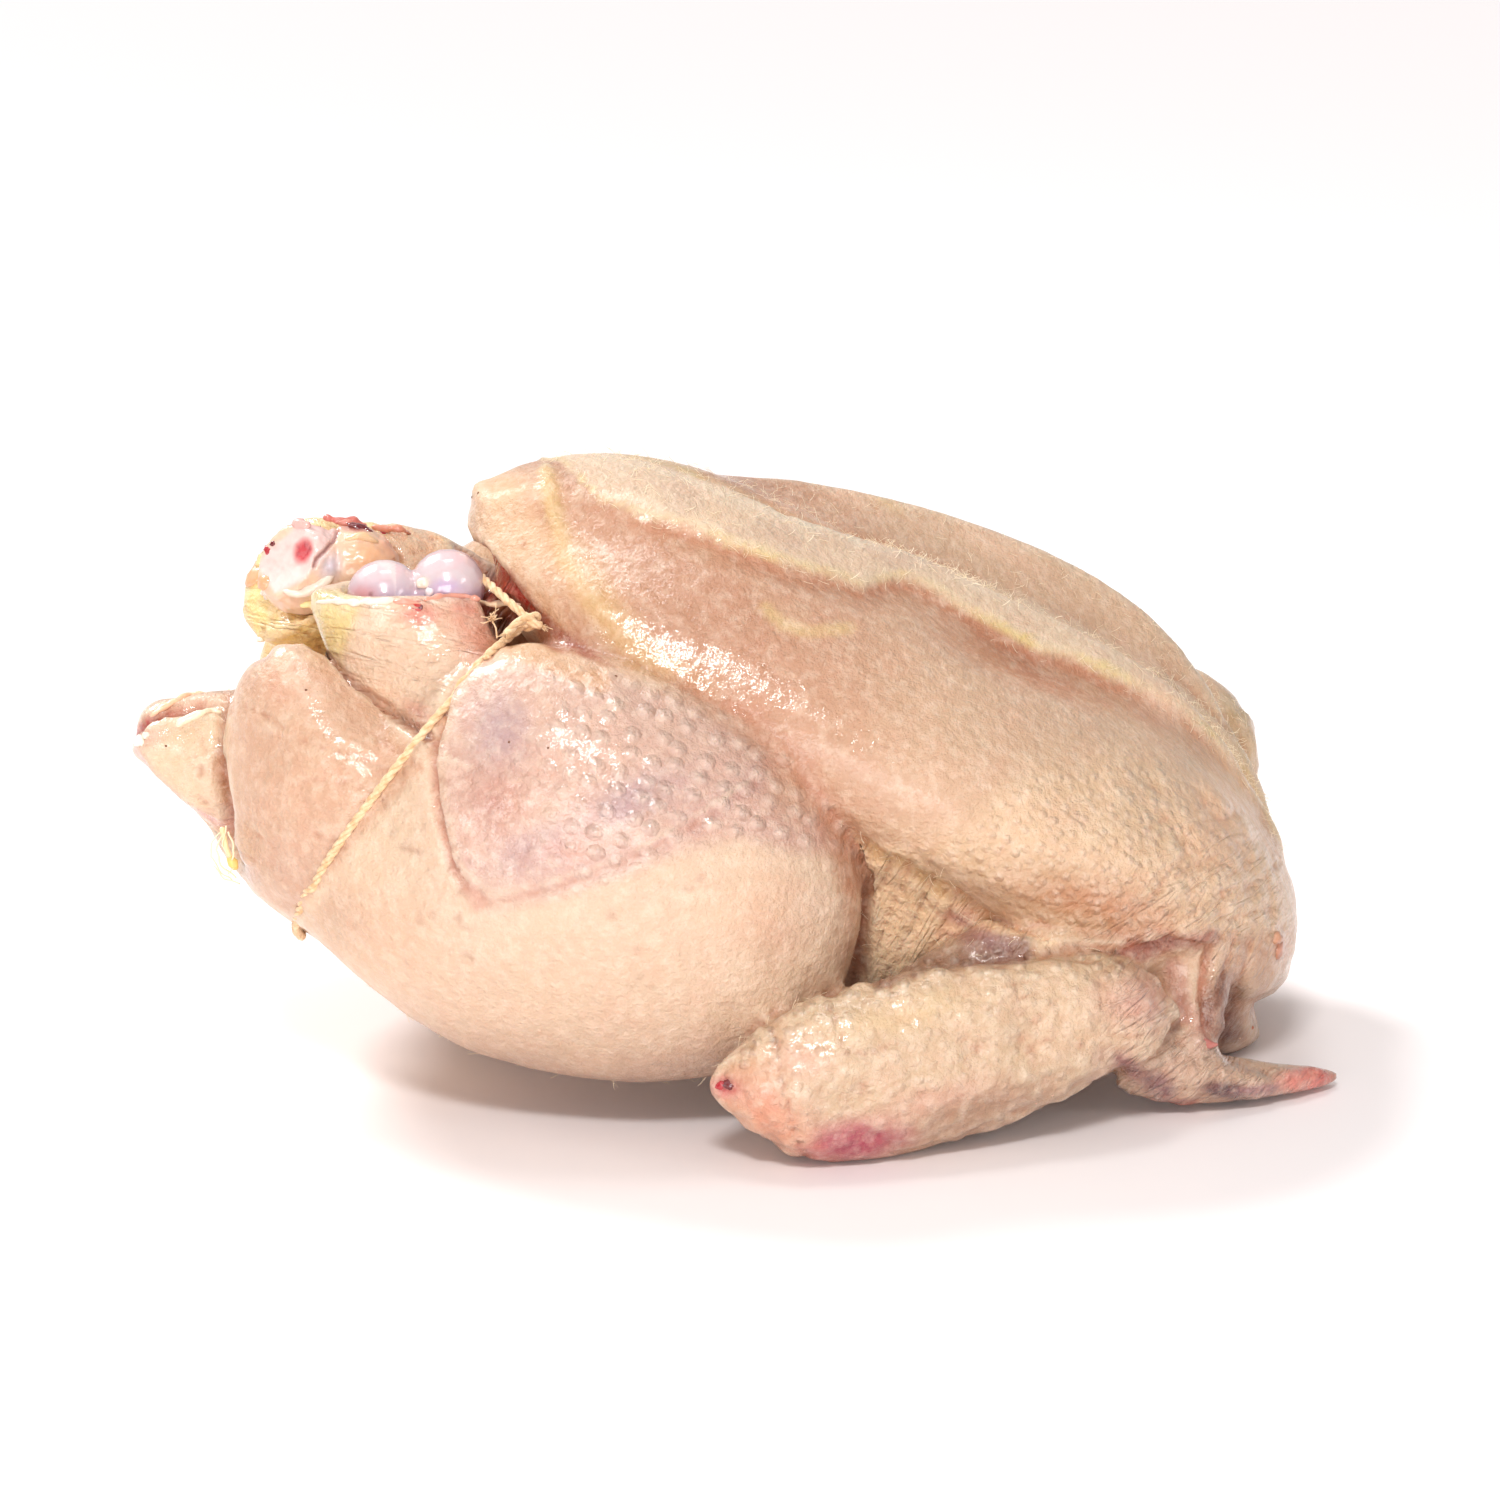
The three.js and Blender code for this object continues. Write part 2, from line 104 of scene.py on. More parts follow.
WORD = 0xFFFFFFFF
CELL_BITS = 0xFFFFF
SEED_STEP, SEED_START = 7919, 12345
FIRST_MIXER, SECOND_MIXER = 2654435761, 2246822519


def hashed(cell, seed):
    """A number from -1 to 1 for each whole-number cell."""
    mixed = np.full(cell.shape[:-1], seed * SEED_STEP + SEED_START, np.int64)
    for k in range(cell.shape[-1]):
        mixed = (mixed ^ (cell[..., k] & CELL_BITS)) * FIRST_MIXER & WORD
        mixed ^= mixed >> 15
    mixed = mixed * SECOND_MIXER & WORD
    mixed ^= mixed >> 13
    return mixed / (WORD / 2) - 1


def noise(points, size, seed=0):
    """Smooth noise from -1 to 1; size is the width of its lumps, one number or one for each axis."""
    place = points / np.asarray(size, float)
    cell = np.floor(place).astype(np.int64)
    t = place - cell
    t = t * t * t * (t * (t * 6 - 15) + 10)
    total = np.zeros(len(points))
    for corner in np.ndindex(*(2,) * points.shape[1]):
        step = np.array(corner)
        weight = np.prod(np.where(step, t, 1 - t), axis=1)
        total += weight * hashed(cell + step, seed)
    return total


LAYER_SHIFT = 17.3


def lumps(points, size, seed=0, layers=3):
    """Noise of several sizes."""
    total = np.zeros(len(points))
    share = 1.0
    for k in range(layers):
        total += share * noise(points + LAYER_SHIFT * k, np.asarray(size, float) / 2**k, seed + k)
        share *= 0.5
    return total / (2 - 2 * share)


def creases(points, size, seed=0):
    """Thin valleys, -1 in a valley and 0 away from it."""
    return -np.clip(1 - np.abs(noise(points, size, seed)) * 3.2, 0, 1) ** 1.5


def line_distance(points, line):
    """Distance to a line through points, and the share of its length at the nearest point."""
    line = np.asarray(line, float)
    lengths = np.linalg.norm(np.diff(line, axis=0), axis=1)
    starts = np.concatenate([[0], np.cumsum(lengths)])
    nearest = np.full(len(points), 1e9)
    share = np.zeros(len(points))
    for k, (a, b) in enumerate(zip(line[:-1], line[1:])):
        t = np.clip((points - a) @ (b - a) / lengths[k] ** 2, 0, 1)
        gap = np.linalg.norm(points - (a + t[:, None] * (b - a)), axis=1)
        closer = gap < nearest
        nearest[closer] = gap[closer]
        share[closer] = (starts[k] + t[closer] * lengths[k]) / starts[-1]
    return nearest, share


# Meshes

def new_object(name, mesh):
    made = bpy.data.objects.new(name, mesh)
    bpy.context.scene.collection.objects.link(made)
    return made


def evaluated(source, name):
    """The object's mesh with its modifiers applied, as a plain mesh."""
    graph = bpy.context.evaluated_depsgraph_get()
    mesh = bpy.data.meshes.new_from_object(source.evaluated_get(graph))
    mesh.name = name
    return mesh


def places(mesh):
    out = np.zeros(len(mesh.vertices) * 3)
    mesh.vertices.foreach_get("co", out)
    return out.reshape(-1, 3) / MM


def put(mesh, points):
    mesh.vertices.foreach_set("co", (points * MM).astype(np.float32).ravel())
    mesh.update()


def remeshed(node, voxel, name, nearness=0.0):
    """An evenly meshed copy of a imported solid; nearness makes the mesh finer on the near side."""
    rough = new_object(name + "_rough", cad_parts[node].data.copy())
    rough.data.materials.clear()
    if nearness:
        x, y, z = places(rough.data).T
        swell = np.exp(-nearness * y)
        put(rough.data, np.stack([x * swell, (1 - swell) / nearness, z * swell], axis=-1))
    weld = rough.modifiers.new("weld", "WELD")
    weld.merge_threshold = 1e-6
    remesh = rough.modifiers.new("remesh", "REMESH")
    remesh.mode = "VOXEL"
    remesh.voxel_size = voxel * MM
    remesh.adaptivity = 0
    mesh = evaluated(rough, name)
    bpy.data.objects.remove(rough)
    if nearness:
        x, y, z = places(mesh).T
        swell = 1 - nearness * y
        put(mesh, np.stack([x / swell, -np.log(swell) / nearness, z / swell], axis=-1))
    return new_object(name, mesh)


def normals(mesh):
    out = np.zeros(len(mesh.vertices) * 3)
    mesh.vertex_normals.foreach_get("vector", out)
    return out.reshape(-1, 3)


def edge_ends(mesh):
    out = np.zeros(len(mesh.edges) * 2, np.int64)
    mesh.edges.foreach_get("vertices", out)
    return out.reshape(-1, 2)


def relaxed(values, ends, rounds, weight=1.0):
    """Values, or places, each moved towards the mean of its neighbours."""
    count = len(values)
    degree = np.bincount(ends.ravel(), minlength=count).astype(float)
    flat = values.reshape(count, -1).copy()
    share = np.broadcast_to(np.asarray(weight, float).reshape(-1, 1), (count, 1)) * 0.6
    for _ in range(rounds):
        total = np.empty_like(flat)
        for k in range(flat.shape[1]):
            total[:, k] = np.bincount(ends[:, 0], flat[ends[:, 1], k], count)
            total[:, k] += np.bincount(ends[:, 1], flat[ends[:, 0], k], count)
        flat += share * (total / degree[:, None] - flat)
    return flat.reshape(values.shape)


def paint(mesh, name, colours):
    """Writes a colour for each vertex, linear."""
    layer = mesh.attributes.new(name, "FLOAT_COLOR", "POINT")
    full = np.ones((len(mesh.vertices), 4), np.float32)
    full[:, :3] = np.clip(colours, 0, 1)
    layer.data.foreach_set("color", full.ravel())


def number(mesh, name, values):
    layer = mesh.attributes.new(name, "FLOAT", "POINT")
    layer.data.foreach_set("value", np.asarray(values, np.float32))


def smooth(mesh):
    mesh.polygons.foreach_set("use_smooth", [True] * len(mesh.polygons))


def linear(red, green, blue):
    """A colour given as it looks on screen, 0 to 255, in linear light."""
    seen = np.array([red, green, blue]) / 255
    return np.where(seen <= 0.04045, seen / 12.92, ((seen + 0.055) / 1.055) ** 2.4)


class Tones:
    """Colour of each vertex, laid on in coats."""

    def __init__(self, count, base):
        self.colour = np.tile(linear(*base), (count, 1))

    def lay(self, region, coats):
        """Lays named coats in order; each is a colour on screen and its share of the region."""
        for colour, share in coats.values():
            share = np.clip(share * region, 0, 1)[:, None]
            self.colour += share * (linear(*colour) - self.colour)

# Skin: an even mesh of the carcass, blended where skin covers it and creased where it folds

SKIN_VOXEL = 1.58
NEARNESS = 0.0035
EVEN_VOXEL = 1.4  # voxel at which the rounds of smoothing below are meant
FIRST_ROUNDS, BLEND_ROUNDS = 12, 46
skin = remeshed("carcass", SKIN_VOXEL, "skin", NEARNESS)
ends = edge_ends(skin.data)
co = places(skin.data)
finer = EVEN_VOXEL / SKIN_VOXEL

early = relaxed(co, ends, int(FIRST_ROUNDS * finer))
sharp = np.linalg.norm(early - co, axis=1)
sharp = relaxed(sharp, ends, 3)
blend = 1 - 0.95 * ease(sharp, 0.12, 0.42)
co = relaxed(co, ends, int(BLEND_ROUNDS * finer * finer), blend)
co = relaxed(co, ends, 2)

# Where each vertex stands in the photograph; the far side takes the near side's marks, mirrored

near_side = co[:, 1] < 0
across = np.where(near_side[:, None], co, co * [1, -1, 1])
px, py = photo_pixels(co)
sx, sy = photo_pixels(across)
flat = np.stack([sx, sy], axis=-1)
direct = np.stack([px, py], axis=-1)
put(skin.data, co)
out = normals(skin.data)
facing = np.clip(np.where(near_side, out @ back, (out * [1, -1, 1]) @ back), 0, 1)
aside = np.abs(co[:, 1])


def area(outline, soft, where=flat):
    """1 inside an outline of photo pixels, 0 outside, eased over soft pixels."""
    outline = np.asarray(outline, float)
    nearest = np.full(len(where), 1e9)
    inside = np.zeros(len(where), bool)
    for a, b in zip(outline, np.roll(outline, -1, axis=0)):
        t = np.clip((where - a) @ (b - a) / ((b - a) @ (b - a)), 0, 1)
        nearest = np.minimum(nearest, np.linalg.norm(where - (a + t[:, None] * (b - a)), axis=1))
        crosses = (a[1] > where[:, 1]) != (b[1] > where[:, 1])
        rise = b[1] - a[1] if b[1] != a[1] else 1e-9
        inside ^= crosses & (where[:, 0] < a[0] + (where[:, 1] - a[1]) * (b[0] - a[0]) / rise)
    return ease(np.where(inside, nearest, -nearest), -soft, soft)


def spot(x, y, wide, high=None, turn=0.0, where=flat):
    """A soft round or oval mark at a photo pixel; 1 at its middle."""
    c, s = math.cos(math.radians(turn)), math.sin(math.radians(turn))
    dx, dy = where[:, 0] - x, where[:, 1] - y
    u, v = dx * c + dy * s, dy * c - dx * s
    return ease(np.hypot(u / wide, v / (high or wide)), 1.0, 0.0)


def blot(gain, x, y, wide, high=None, turn=0.0, where=flat):
    """A spot made stronger, so that it has a flat middle."""
    return np.clip(spot(x, y, wide, high, turn, where) * gain, 0, 1)


def along(line, reach, core, where=flat):
    """1 up to core pixels from a line of photo pixels, 0 beyond reach."""
    return ease(line_distance(where, line)[0], reach, core)


def grain(turn, long, short, seed):
    """Wrinkles along a direction in the photo's plane: degrees below the horizontal, sizes in pixels."""
    c, s = math.cos(math.radians(turn)), math.sin(math.radians(turn))
    bend = 0.45 * short * noise(flat, long * 0.8, seed + 50)
    u = sx * c + sy * s
    v = sy * c - sx * s + bend
    return creases(np.stack([u / long, v / short], axis=-1), 1.0, seed)


def lip(line, side, rise, reach, groove, where=flat):
    """A raised edge of skin along photo pixels, with a groove at its foot; side 1 is right of the way."""
    line = np.asarray(line, float)
    nearest = np.full(len(where), 1e9)
    signed = np.zeros(len(where))
    for a, b in zip(line[:-1], line[1:]):
        way = b - a
        off = where - a
        t = np.clip(off @ way / (way @ way), 0, 1)
        gap = np.linalg.norm(off - t[:, None] * way, axis=1)
        closer = gap < nearest - 1e-6
        turned = np.sign(way[0] * off[:, 1] - way[1] * off[:, 0]) * side
        nearest[closer] = gap[closer]
        signed[closer] = (turned * gap)[closer]
    from_ends = [np.linalg.norm(where - end, axis=1) for end in (line[0], line[-1])]
    ends_soft = ease(from_ends[0], 4, 22) * ease(from_ends[1], 4, 22)
    ends_soft = np.where(nearest > 30, 1, ends_soft)
    raised = np.where(signed > 0, rise * np.exp(-signed / reach) * ease(signed, -1, 5), 0)
    return raised * ends_soft - groove * ease(np.abs(signed + 3), 8, 0) * ends_soft


# Outlines and lines in photo pixels

LEG = [(438, 700), (470, 655), (530, 648), (600, 662), (680, 688), (762, 732), (822, 788), (855, 838),
       (868, 900), (866, 970), (822, 1012), (762, 1062), (700, 1085), (600, 1095), (480, 1080), (380, 1030),
       (300, 945), (330, 880), (400, 760)]
DRUMSTICK = [(448, 700), (480, 668), (540, 658), (610, 672), (690, 700), (760, 745), (815, 800), (845, 850),
             (800, 850), (740, 835), (700, 845), (650, 862), (600, 880), (550, 897), (500, 902), (462, 880),
             (442, 820), (438, 750)]
NEAR_COLLAR = [(308, 590), (322, 645), (350, 685), (437, 748), (458, 690), (505, 642), (492, 600),
               (478, 590), (400, 590)]
FLAP = [(233, 672), (270, 645), (312, 655), (350, 690), (437, 748), (425, 770), (380, 812), (290, 915),
        (250, 882), (228, 800)]
LOWER_BREAST = [(960, 830), (1040, 770), (1120, 750), (1220, 790), (1290, 860), (1292, 960), (1200, 950),
                (1130, 955), (1060, 945), (980, 895), (900, 850)]
WEB = [(852, 832), (905, 848), (960, 888), (1010, 925), (1060, 945), (1000, 962), (860, 985), (866, 900)]
FOREARM = [(705, 1085), (760, 1030), (800, 1000), (900, 966), (1000, 950), (1080, 944), (1130, 958),
           (1172, 990), (1178, 1020), (1150, 1060), (1080, 1095), (1000, 1130), (900, 1160), (830, 1178),
           (770, 1155), (730, 1115)]
HAND = [(1090, 1080), (1150, 1060), (1178, 1020), (1215, 1045), (1260, 1065), (1345, 1072), (1330, 1095),
        (1180, 1125), (1110, 1112)]
NECK = [(1205, 935), (1290, 930), (1285, 1000), (1262, 1042), (1215, 1045), (1205, 1000)]
KNOB = [(1222, 690), (1262, 700), (1268, 775), (1240, 765), (1225, 725)]
MEAT = [(456, 546), (480, 546), (498, 568), (508, 582), (521, 600), (536, 616), (524, 624), (512, 633),
        (502, 640), (494, 628), (487, 610), (477, 588), (470, 570)]
FLAP_EDGE = [(262, 648), (300, 648), (325, 660), (350, 686), (400, 722), (438, 746)]
FLAP_BACK_EDGE = [(262, 648), (238, 668), (224, 740), (231, 830), (246, 875)]
CALF = [(487, 655), (455, 690), (438, 745), (440, 800), (452, 860), (478, 905)]
DRUMSTICK_LOW_EDGE = [(462, 868), (490, 902), (560, 884), (640, 854), (720, 806), (770, 770)]
FOLD = [(846, 828), (905, 852), (960, 888), (1010, 925), (1062, 946), (1140, 950)]
TAIL_SPLIT = [(131, 736), (148, 719), (168, 709), (200, 705), (236, 712)]
TAIL_LOW = [(134, 746), (150, 772), (180, 802), (205, 818), (235, 838)]
WRIST_FOLD = [(1172, 985), (1182, 1016), (1150, 1052), (1085, 1090)]
NECK_FOLD = [(1130, 948), (1165, 938), (1212, 946), (1205, 985), (1212, 1045)]
BREAST_TIP = [(546, 470), (554, 515), (570, 560), (600, 612), (650, 662), (710, 692)]
KEEL_NEAR_EDGE = [(560, 462), (585, 482), (600, 499), (655, 520), (720, 540), (790, 566), (835, 580),
                  (862, 586), (885, 583), (905, 578), (930, 588), (960, 608), (1000, 630), (1040, 649),
                  (1062, 652), (1090, 665), (1150, 696), (1182, 712), (1210, 738), (1240, 772), (1262, 806),
                  (1285, 860)]
KEEL_FAR_EDGE = [(560, 440), (640, 458), (700, 478), (740, 494), (800, 519), (850, 535), (900, 551),
                 (950, 568), (1000, 587), (1050, 604), (1100, 625), (1140, 650), (1180, 684), (1210, 714),
                 (1240, 744), (1262, 778), (1290, 850)]
TIP_OCHRE = [(556, 520), (590, 590), (640, 655), (700, 695)]
TIP_STREAK = [(548, 478), (556, 520), (566, 560), (590, 600), (625, 638), (668, 668), (735, 692)]
KNOT_CREASE = [(512, 590), (545, 638), (585, 672), (625, 690)]
KNOT_OCHRE = [(500, 645), (530, 655), (570, 670), (600, 682)]
DRUMSTICK_CREASE = [(506, 575), (530, 606), (556, 632), (590, 656), (626, 682)]
LEG_CREASE = [(690, 684), (750, 722), (800, 768), (836, 822), (856, 884)]
WING_TOP = [(735, 1052), (790, 1010), (850, 988), (950, 962), (1060, 950), (1130, 962)]
OVER_WING = [(880, 984), (930, 968), (975, 957), (1025, 948)]
OVER_WRIST = [(1098, 962), (1140, 955), (1180, 940), (1212, 936)]
WRIST_BACK = [(1175, 970), (1182, 1000), (1200, 1036)]
NECK_HOLLOW = [(1222, 968), (1206, 1012), (1210, 1042), (1246, 1040), (1236, 1000), (1232, 974)]
NECK_DARK = [(1222, 962), (1202, 1004), (1206, 1044), (1240, 1040), (1232, 1000)]
WING_RIDGE = [(740, 1048), (790, 1010), (850, 988), (950, 962), (1060, 950), (1130, 962)]
HAND_EDGE = [(1104, 1096), (1130, 1106), (1160, 1110), (1190, 1110)]
LEG_EDGE = [(620, 676), (700, 700), (770, 745), (825, 800), (855, 850), (862, 920)]
BREAST_SHADE = [(812, 770), (850, 826), (862, 900), (858, 960)]
YELLOW_ARC = [(766, 608), (782, 624), (808, 632), (850, 628)]
TAIL_GROOVE = [(221, 764), (230, 830)]
TAIL_SHADE = [(222, 760), (231, 835)]
GLOVE = [(1090, 1050), (1125, 1040), (1150, 1060), (1178, 1020), (1215, 1035), (1260, 1062), (1345, 1068),
         (1345, 1098), (1180, 1125), (1090, 1110)]

near_only = ease(co[:, 1], 6, -6)
on_leg = area(LEG, 6) * ease(aside, 34, 44)
on_forearm = area(FOREARM, 5) * ease(aside, 56, 62)
on_hand = area(HAND, 5) * ease(co[:, 2], 46, 34) * ease(aside, 30, 38)
on_wing = np.maximum(on_forearm, on_hand)
on_flap = area(FLAP, 5) * (1 - on_wing) * ease(aside, 12, 18)
on_trunk = np.clip(1 - on_leg - on_wing - on_flap, 0, 1) * ease(co[:, 0], -58, -50)
drumstick = area(DRUMSTICK, 14) * on_leg
near_collar = area(NEAR_COLLAR, 4, direct) * ease(co[:, 1], 0, -6) * ease(co[:, 0], -40, -48)
lower_breast = area(LOWER_BREAST, 26) * on_trunk
web = area(WEB, 5) * np.clip(1 - on_leg - on_wing, 0, 1) * ease(co[:, 0], 12, 18)
neck = area(NECK, 12) * (1 - on_wing)
knob = area(KNOB, 8, direct) * ease(co[:, 1], -2, 6)
tail = ease(co[:, 0], -104, -112)
meat = area(MEAT, 5, direct) * ease(co[:, 0], -30, -38) * ease(co[:, 1], 34, 20)

FAR_RIM = np.array([-94.0, 12.0, 107.0])
FAR_WAY = np.array([-0.74, -0.5, 0.45])
far_axis = FAR_WAY / np.linalg.norm(FAR_WAY)
below_far = -(co - FAR_RIM) @ far_axis
far_radius = np.linalg.norm((co - FAR_RIM) + below_far[:, None] * far_axis, axis=1)
far_collar = ease(far_radius, 26, 22) * ease(below_far, 34, 26)
far_collar *= ease(co[:, 1], -8, 0) * ease(co[:, 0], -52, -60)

# Relief: heights along the skin's normal, in millimetres

height = np.zeros(len(co))

# The keel and its band of skin; x and z of its ridge in millimetres

KEEL_X = [-57, -49, -39, -27, -5, 17, 33, 62, 84, 103, 117, 126]
KEEL_Z = [123, 132.5, 135, 135.5, 132, 123.5, 116, 102, 90.5, 77, 60, 44]
KEEL_LEAN = math.radians(6)
KEEL_FOOT = 55
ridge_y = -(np.interp(co[:, 0], KEEL_X, KEEL_Z) - KEEL_FOOT) * math.sin(KEEL_LEAN)
from_ridge = co[:, 1] - ridge_y
high_up = ease(co[:, 2], 40, 60) * ease(co[:, 0], -46, -36) * ease(out[:, 2], 0.0, 0.3)
near_edge, far_edge = np.array(KEEL_NEAR_EDGE), np.array(KEEL_FAR_EDGE)
wobble = 2.2 * noise(co, 7, 3) + 1.2 * noise(co, 3, 4)
below_band = py - np.interp(px, near_edge[:, 0], near_edge[:, 1]) + wobble
above_band = np.interp(px, far_edge[:, 0], far_edge[:, 1]) - py + wobble
on_top = ease(from_ridge, -32, -27) * ease(from_ridge, 20, 14)
on_top *= ease(co[:, 0], -42, -38) * ease(co[:, 2], 36, 48)
on_band = ease(below_band, 4, -4) * ease(above_band, 5, -5) * on_top
band_edge = ease(below_band, 6, -7) * ease(above_band, 6, -6) * ease(below_band, -70, -10)
height += 1.1 * band_edge * on_top * ease(px, 580, 700)
height -= 0.9 * ease(below_band, 44, 6) * ease(below_band, -4, 8) * on_top * ease(px, 590, 700)
height -= 1.3 * ease(above_band, 16, 4) * ease(above_band, -1, 4) * on_top * ease(px, 700, 800)
height -= 1.2 * spot(1020, 660, 120, 40, 20) * on_trunk

# The breast's tip

tip_line = line_distance(flat, BREAST_TIP)[0]
tip_side = ease(sx - 0.8 * sy, 200, 90)
height += 2.4 * spot(476, 490, 20, 18) * on_trunk
height -= 2.4 * spot(1284, 1005, 18, 34) + 2.6 * spot(1274, 1016, 24, 24)
height += 0.9 * ease(tip_line, 10, 0) * on_trunk * ease(co[:, 0], 0, -12) * ease(sy, 660, 560)
height += 0.45 * grain(57, 120, 17, 11) * on_trunk * ease(co[:, 0], -18, -34) * ease(sy, 470, 520)

# Leg

height += lip(CALF, -1, 1.6, 26, 1.3) * ease(aside, 30, 40) * ease(sy, 915, 860)
height += lip(DRUMSTICK_LOW_EDGE, -1, 0.35, 20, 0.35) * on_leg
height += 0.5 * lumps(co, 7.5, 21, 2) * drumstick
height += 0.35 * lumps(co, 12, 23, 2) * on_leg

# Lower breast and the fold above the wing

beside_fold = (1 - on_leg) * (1 - on_wing) * ease(co[:, 0], 12, 20) * ease(aside, 20, 30)
height += lip(FOLD, -1, 1.0, 16, 1.8) * beside_fold
height += 0.9 * lumps(co, 8.0, 31, 2) * lower_breast
height += 0.7 * grain(-24, 60, 22, 33) * lower_breast * ease(sx + 1.6 * sy, 2400, 2620)
height += 0.35 * grain(-34, 60, 18, 34) * lower_breast * ease(sx, 1080, 1180)
height += 0.5 * grain(52, 70, 28, 35) * lower_breast * ease(sx, 1120, 1200)
height += lip(NECK_FOLD, -1, 1.4, 18, 1.6) * (1 - on_wing) * ease(co[:, 0], 60, 70)

# Web, meat and the flap of skin at the leg

height += 3.4 * web + 1.2 * grain(-58, 150, 26, 41) * web
height -= 2.6 * meat
height += lip(FLAP_EDGE, 1, 2.0, 26, 2.2, direct) * ease(co[:, 1], 0, -8) * ease(co[:, 0], -40, -48)
height += lip(FLAP_BACK_EDGE, -1, 1.3, 30, 2.4, direct) * ease(co[:, 1], 0, -8)
height += 0.5 * lumps(co, 9, 61, 2) * on_flap + 0.5 * grain(30, 120, 26, 62) * on_flap

# Wing

height += 1.3 * lumps(co, 6.2, 73, 2) * on_wing + 1.0 * lumps(co, 14, 75, 1) * on_wing
height += 1.3 * grain(66, 80, 22, 74) * on_wing * ease(sx, 960, 780)
wing_top = along(WING_TOP, 30, 6)
height += 1.1 * ease(lumps(co, 4.2, 77, 1), 0.0, 0.7) * wing_top * on_wing * ease(sx, 1080, 980)
height += 0.5 * grain(-20, 60, 18, 78) * on_wing * ease(sx, 900, 1040)
height += lip(WRIST_FOLD, 1, 1.2, 24, 1.8) * ease(aside, 46, 52)

# Neck, knob and tail

height += 0.8 * grain(112, 110, 20, 81) * neck
height -= 2.4 * spot(1268, 1018, 26, 34)
height += 1.2 * lumps(co, 5.5, 82, 2) * knob
height += 0.7 * lumps(co, 8, 83, 2) * tail
height -= 2.4 * along(TAIL_SPLIT, 6, 0) * tail * ease(out[:, 1] * np.sign(co[:, 1]), -0.1, 0.3)
FAN_ROOT = (238, 836)
fan = np.arctan2(sy - FAN_ROOT[1], sx - FAN_ROOT[0])
fan_reach = np.hypot(sx - FAN_ROOT[0], sy - FAN_ROOT[1])
tail_fan = creases(np.stack([fan * 9, fan_reach / 140], axis=-1), 1.0, 85)
height += 1.1 * tail_fan * tail * ease(fan_reach, 130, 60)
height -= 2.0 * along(TAIL_GROOVE, 13, 2, direct) * tail * near_only
height += lip(TAIL_LOW, -1, 1.0, 10, 1.2) * tail
height += 0.7 * creases(np.stack([co[:, 2] / 9 + co[:, 1] / 12, below_far / 3.4], -1), 1.0, 53) * far_collar

elsewhere = 1 - np.clip(on_leg + on_wing + on_trunk + on_flap + tail, 0, 1)
height += 0.35 * lumps(co, 8, 91, 2) * elsewhere
height += 0.12 * lumps(co, 4, 92, 2)

resting = ease(co[:, 2], 0.6, 3.0)
co = co + out * (height * resting)[:, None]
put(skin.data, co)
smooth(skin.data)

# Colours of the skin, laid on in coats. Each has a name, its colour on screen and its share of a region;
# places are photo pixels

LIGHT_LEVEL = 1.38
WARMTH = (1.0, 0.985, 0.945)

patchy = lumps(co, 11, 202, 3)
under_band = ease(below_band, -1, 3) * on_top
middle_of_keel = ease(px, 740, 800) * ease(px, 1010, 930)
yellow_edge = np.maximum(ease(np.abs(below_band + 3), 4.5, 1), 0.6 * ease(np.abs(above_band - 4), 6, 1))
fold_line = line_distance(flat, FOLD)[0]
lower_edge = line_distance(flat, DRUMSTICK_LOW_EDGE)[0]
split_line = line_distance(flat, TAIL_SPLIT)[0]
top_of_wing = along(WING_RIDGE, 40, 8)
beside_wing = near_only * (1 - on_wing)
near_wing = on_wing * near_only
near_flank = near_only * ease(aside, 30, 40)
bruise_gain = 1.5 * (1 + 0.25 * noise(co, 5, 211))
tones = Tones(len(co), (238, 202, 168))

tones.lay(on_trunk, {
    "trunk": ((222, 178, 146), 1),
    # painted shade: the trunk darkened where the leg shades it, towards the tail end
    "painted shade by the leg": ((208, 152, 120), ease(sx, 960, 740) * ease(sy - 0.55 * sx, 420, 230)),
    "paler neck end": ((230, 192, 160), ease(sx, 860, 960) * 0.6),
})
tones.lay(under_band, {
    "shade below the keel": ((214, 152, 116), ease(below_band, 46, 4) * ease(px, 560, 620) * 0.8),
})
tones.lay(on_trunk, {
    # painted shade in the hollow below the keel, darkest in its middle and towards the neck
    "painted shade in the hollow beside the keel": ((202, 138, 104), spot(1000, 650, 130, 44, 20) * 0.9),
    "its darkest painted shade": ((192, 124, 92), spot(1060, 682, 90, 26, 26) * 0.8),
    "its painted shade at the neck end": ((196, 128, 98), spot(1155, 712, 36, 18, 30) * 0.7),
})
tones.lay(on_top, {
    "pink above the keel": ((238, 184, 156), ease(above_band, 0, 6) * middle_of_keel * 0.75),
    "yellow above the keel": ((234, 196, 150), ease(above_band, 12, 22) * ease(px, 820, 880) * 0.6),
})
tones.lay(on_band, {
    "keel": ((240, 208, 178), 1),
    "its pale top": (
        (246, 224, 200),
        ease(above_band, -22, -4) * (0.5 + 0.4 * ease(noise(co, 6, 6), -0.4, 0.4)),
    ),
    "its dull patches": ((214, 180, 158), ease(noise(co, 11, 7), 0.1, 0.6) * 0.5),
})
tones.lay(on_top, {
    "yellow edges of the keel": (
        (244, 214, 140),
        yellow_edge * (0.35 + 0.6 * ease(noise(co, 12, 5), -0.1, 0.4)),
    ),
})
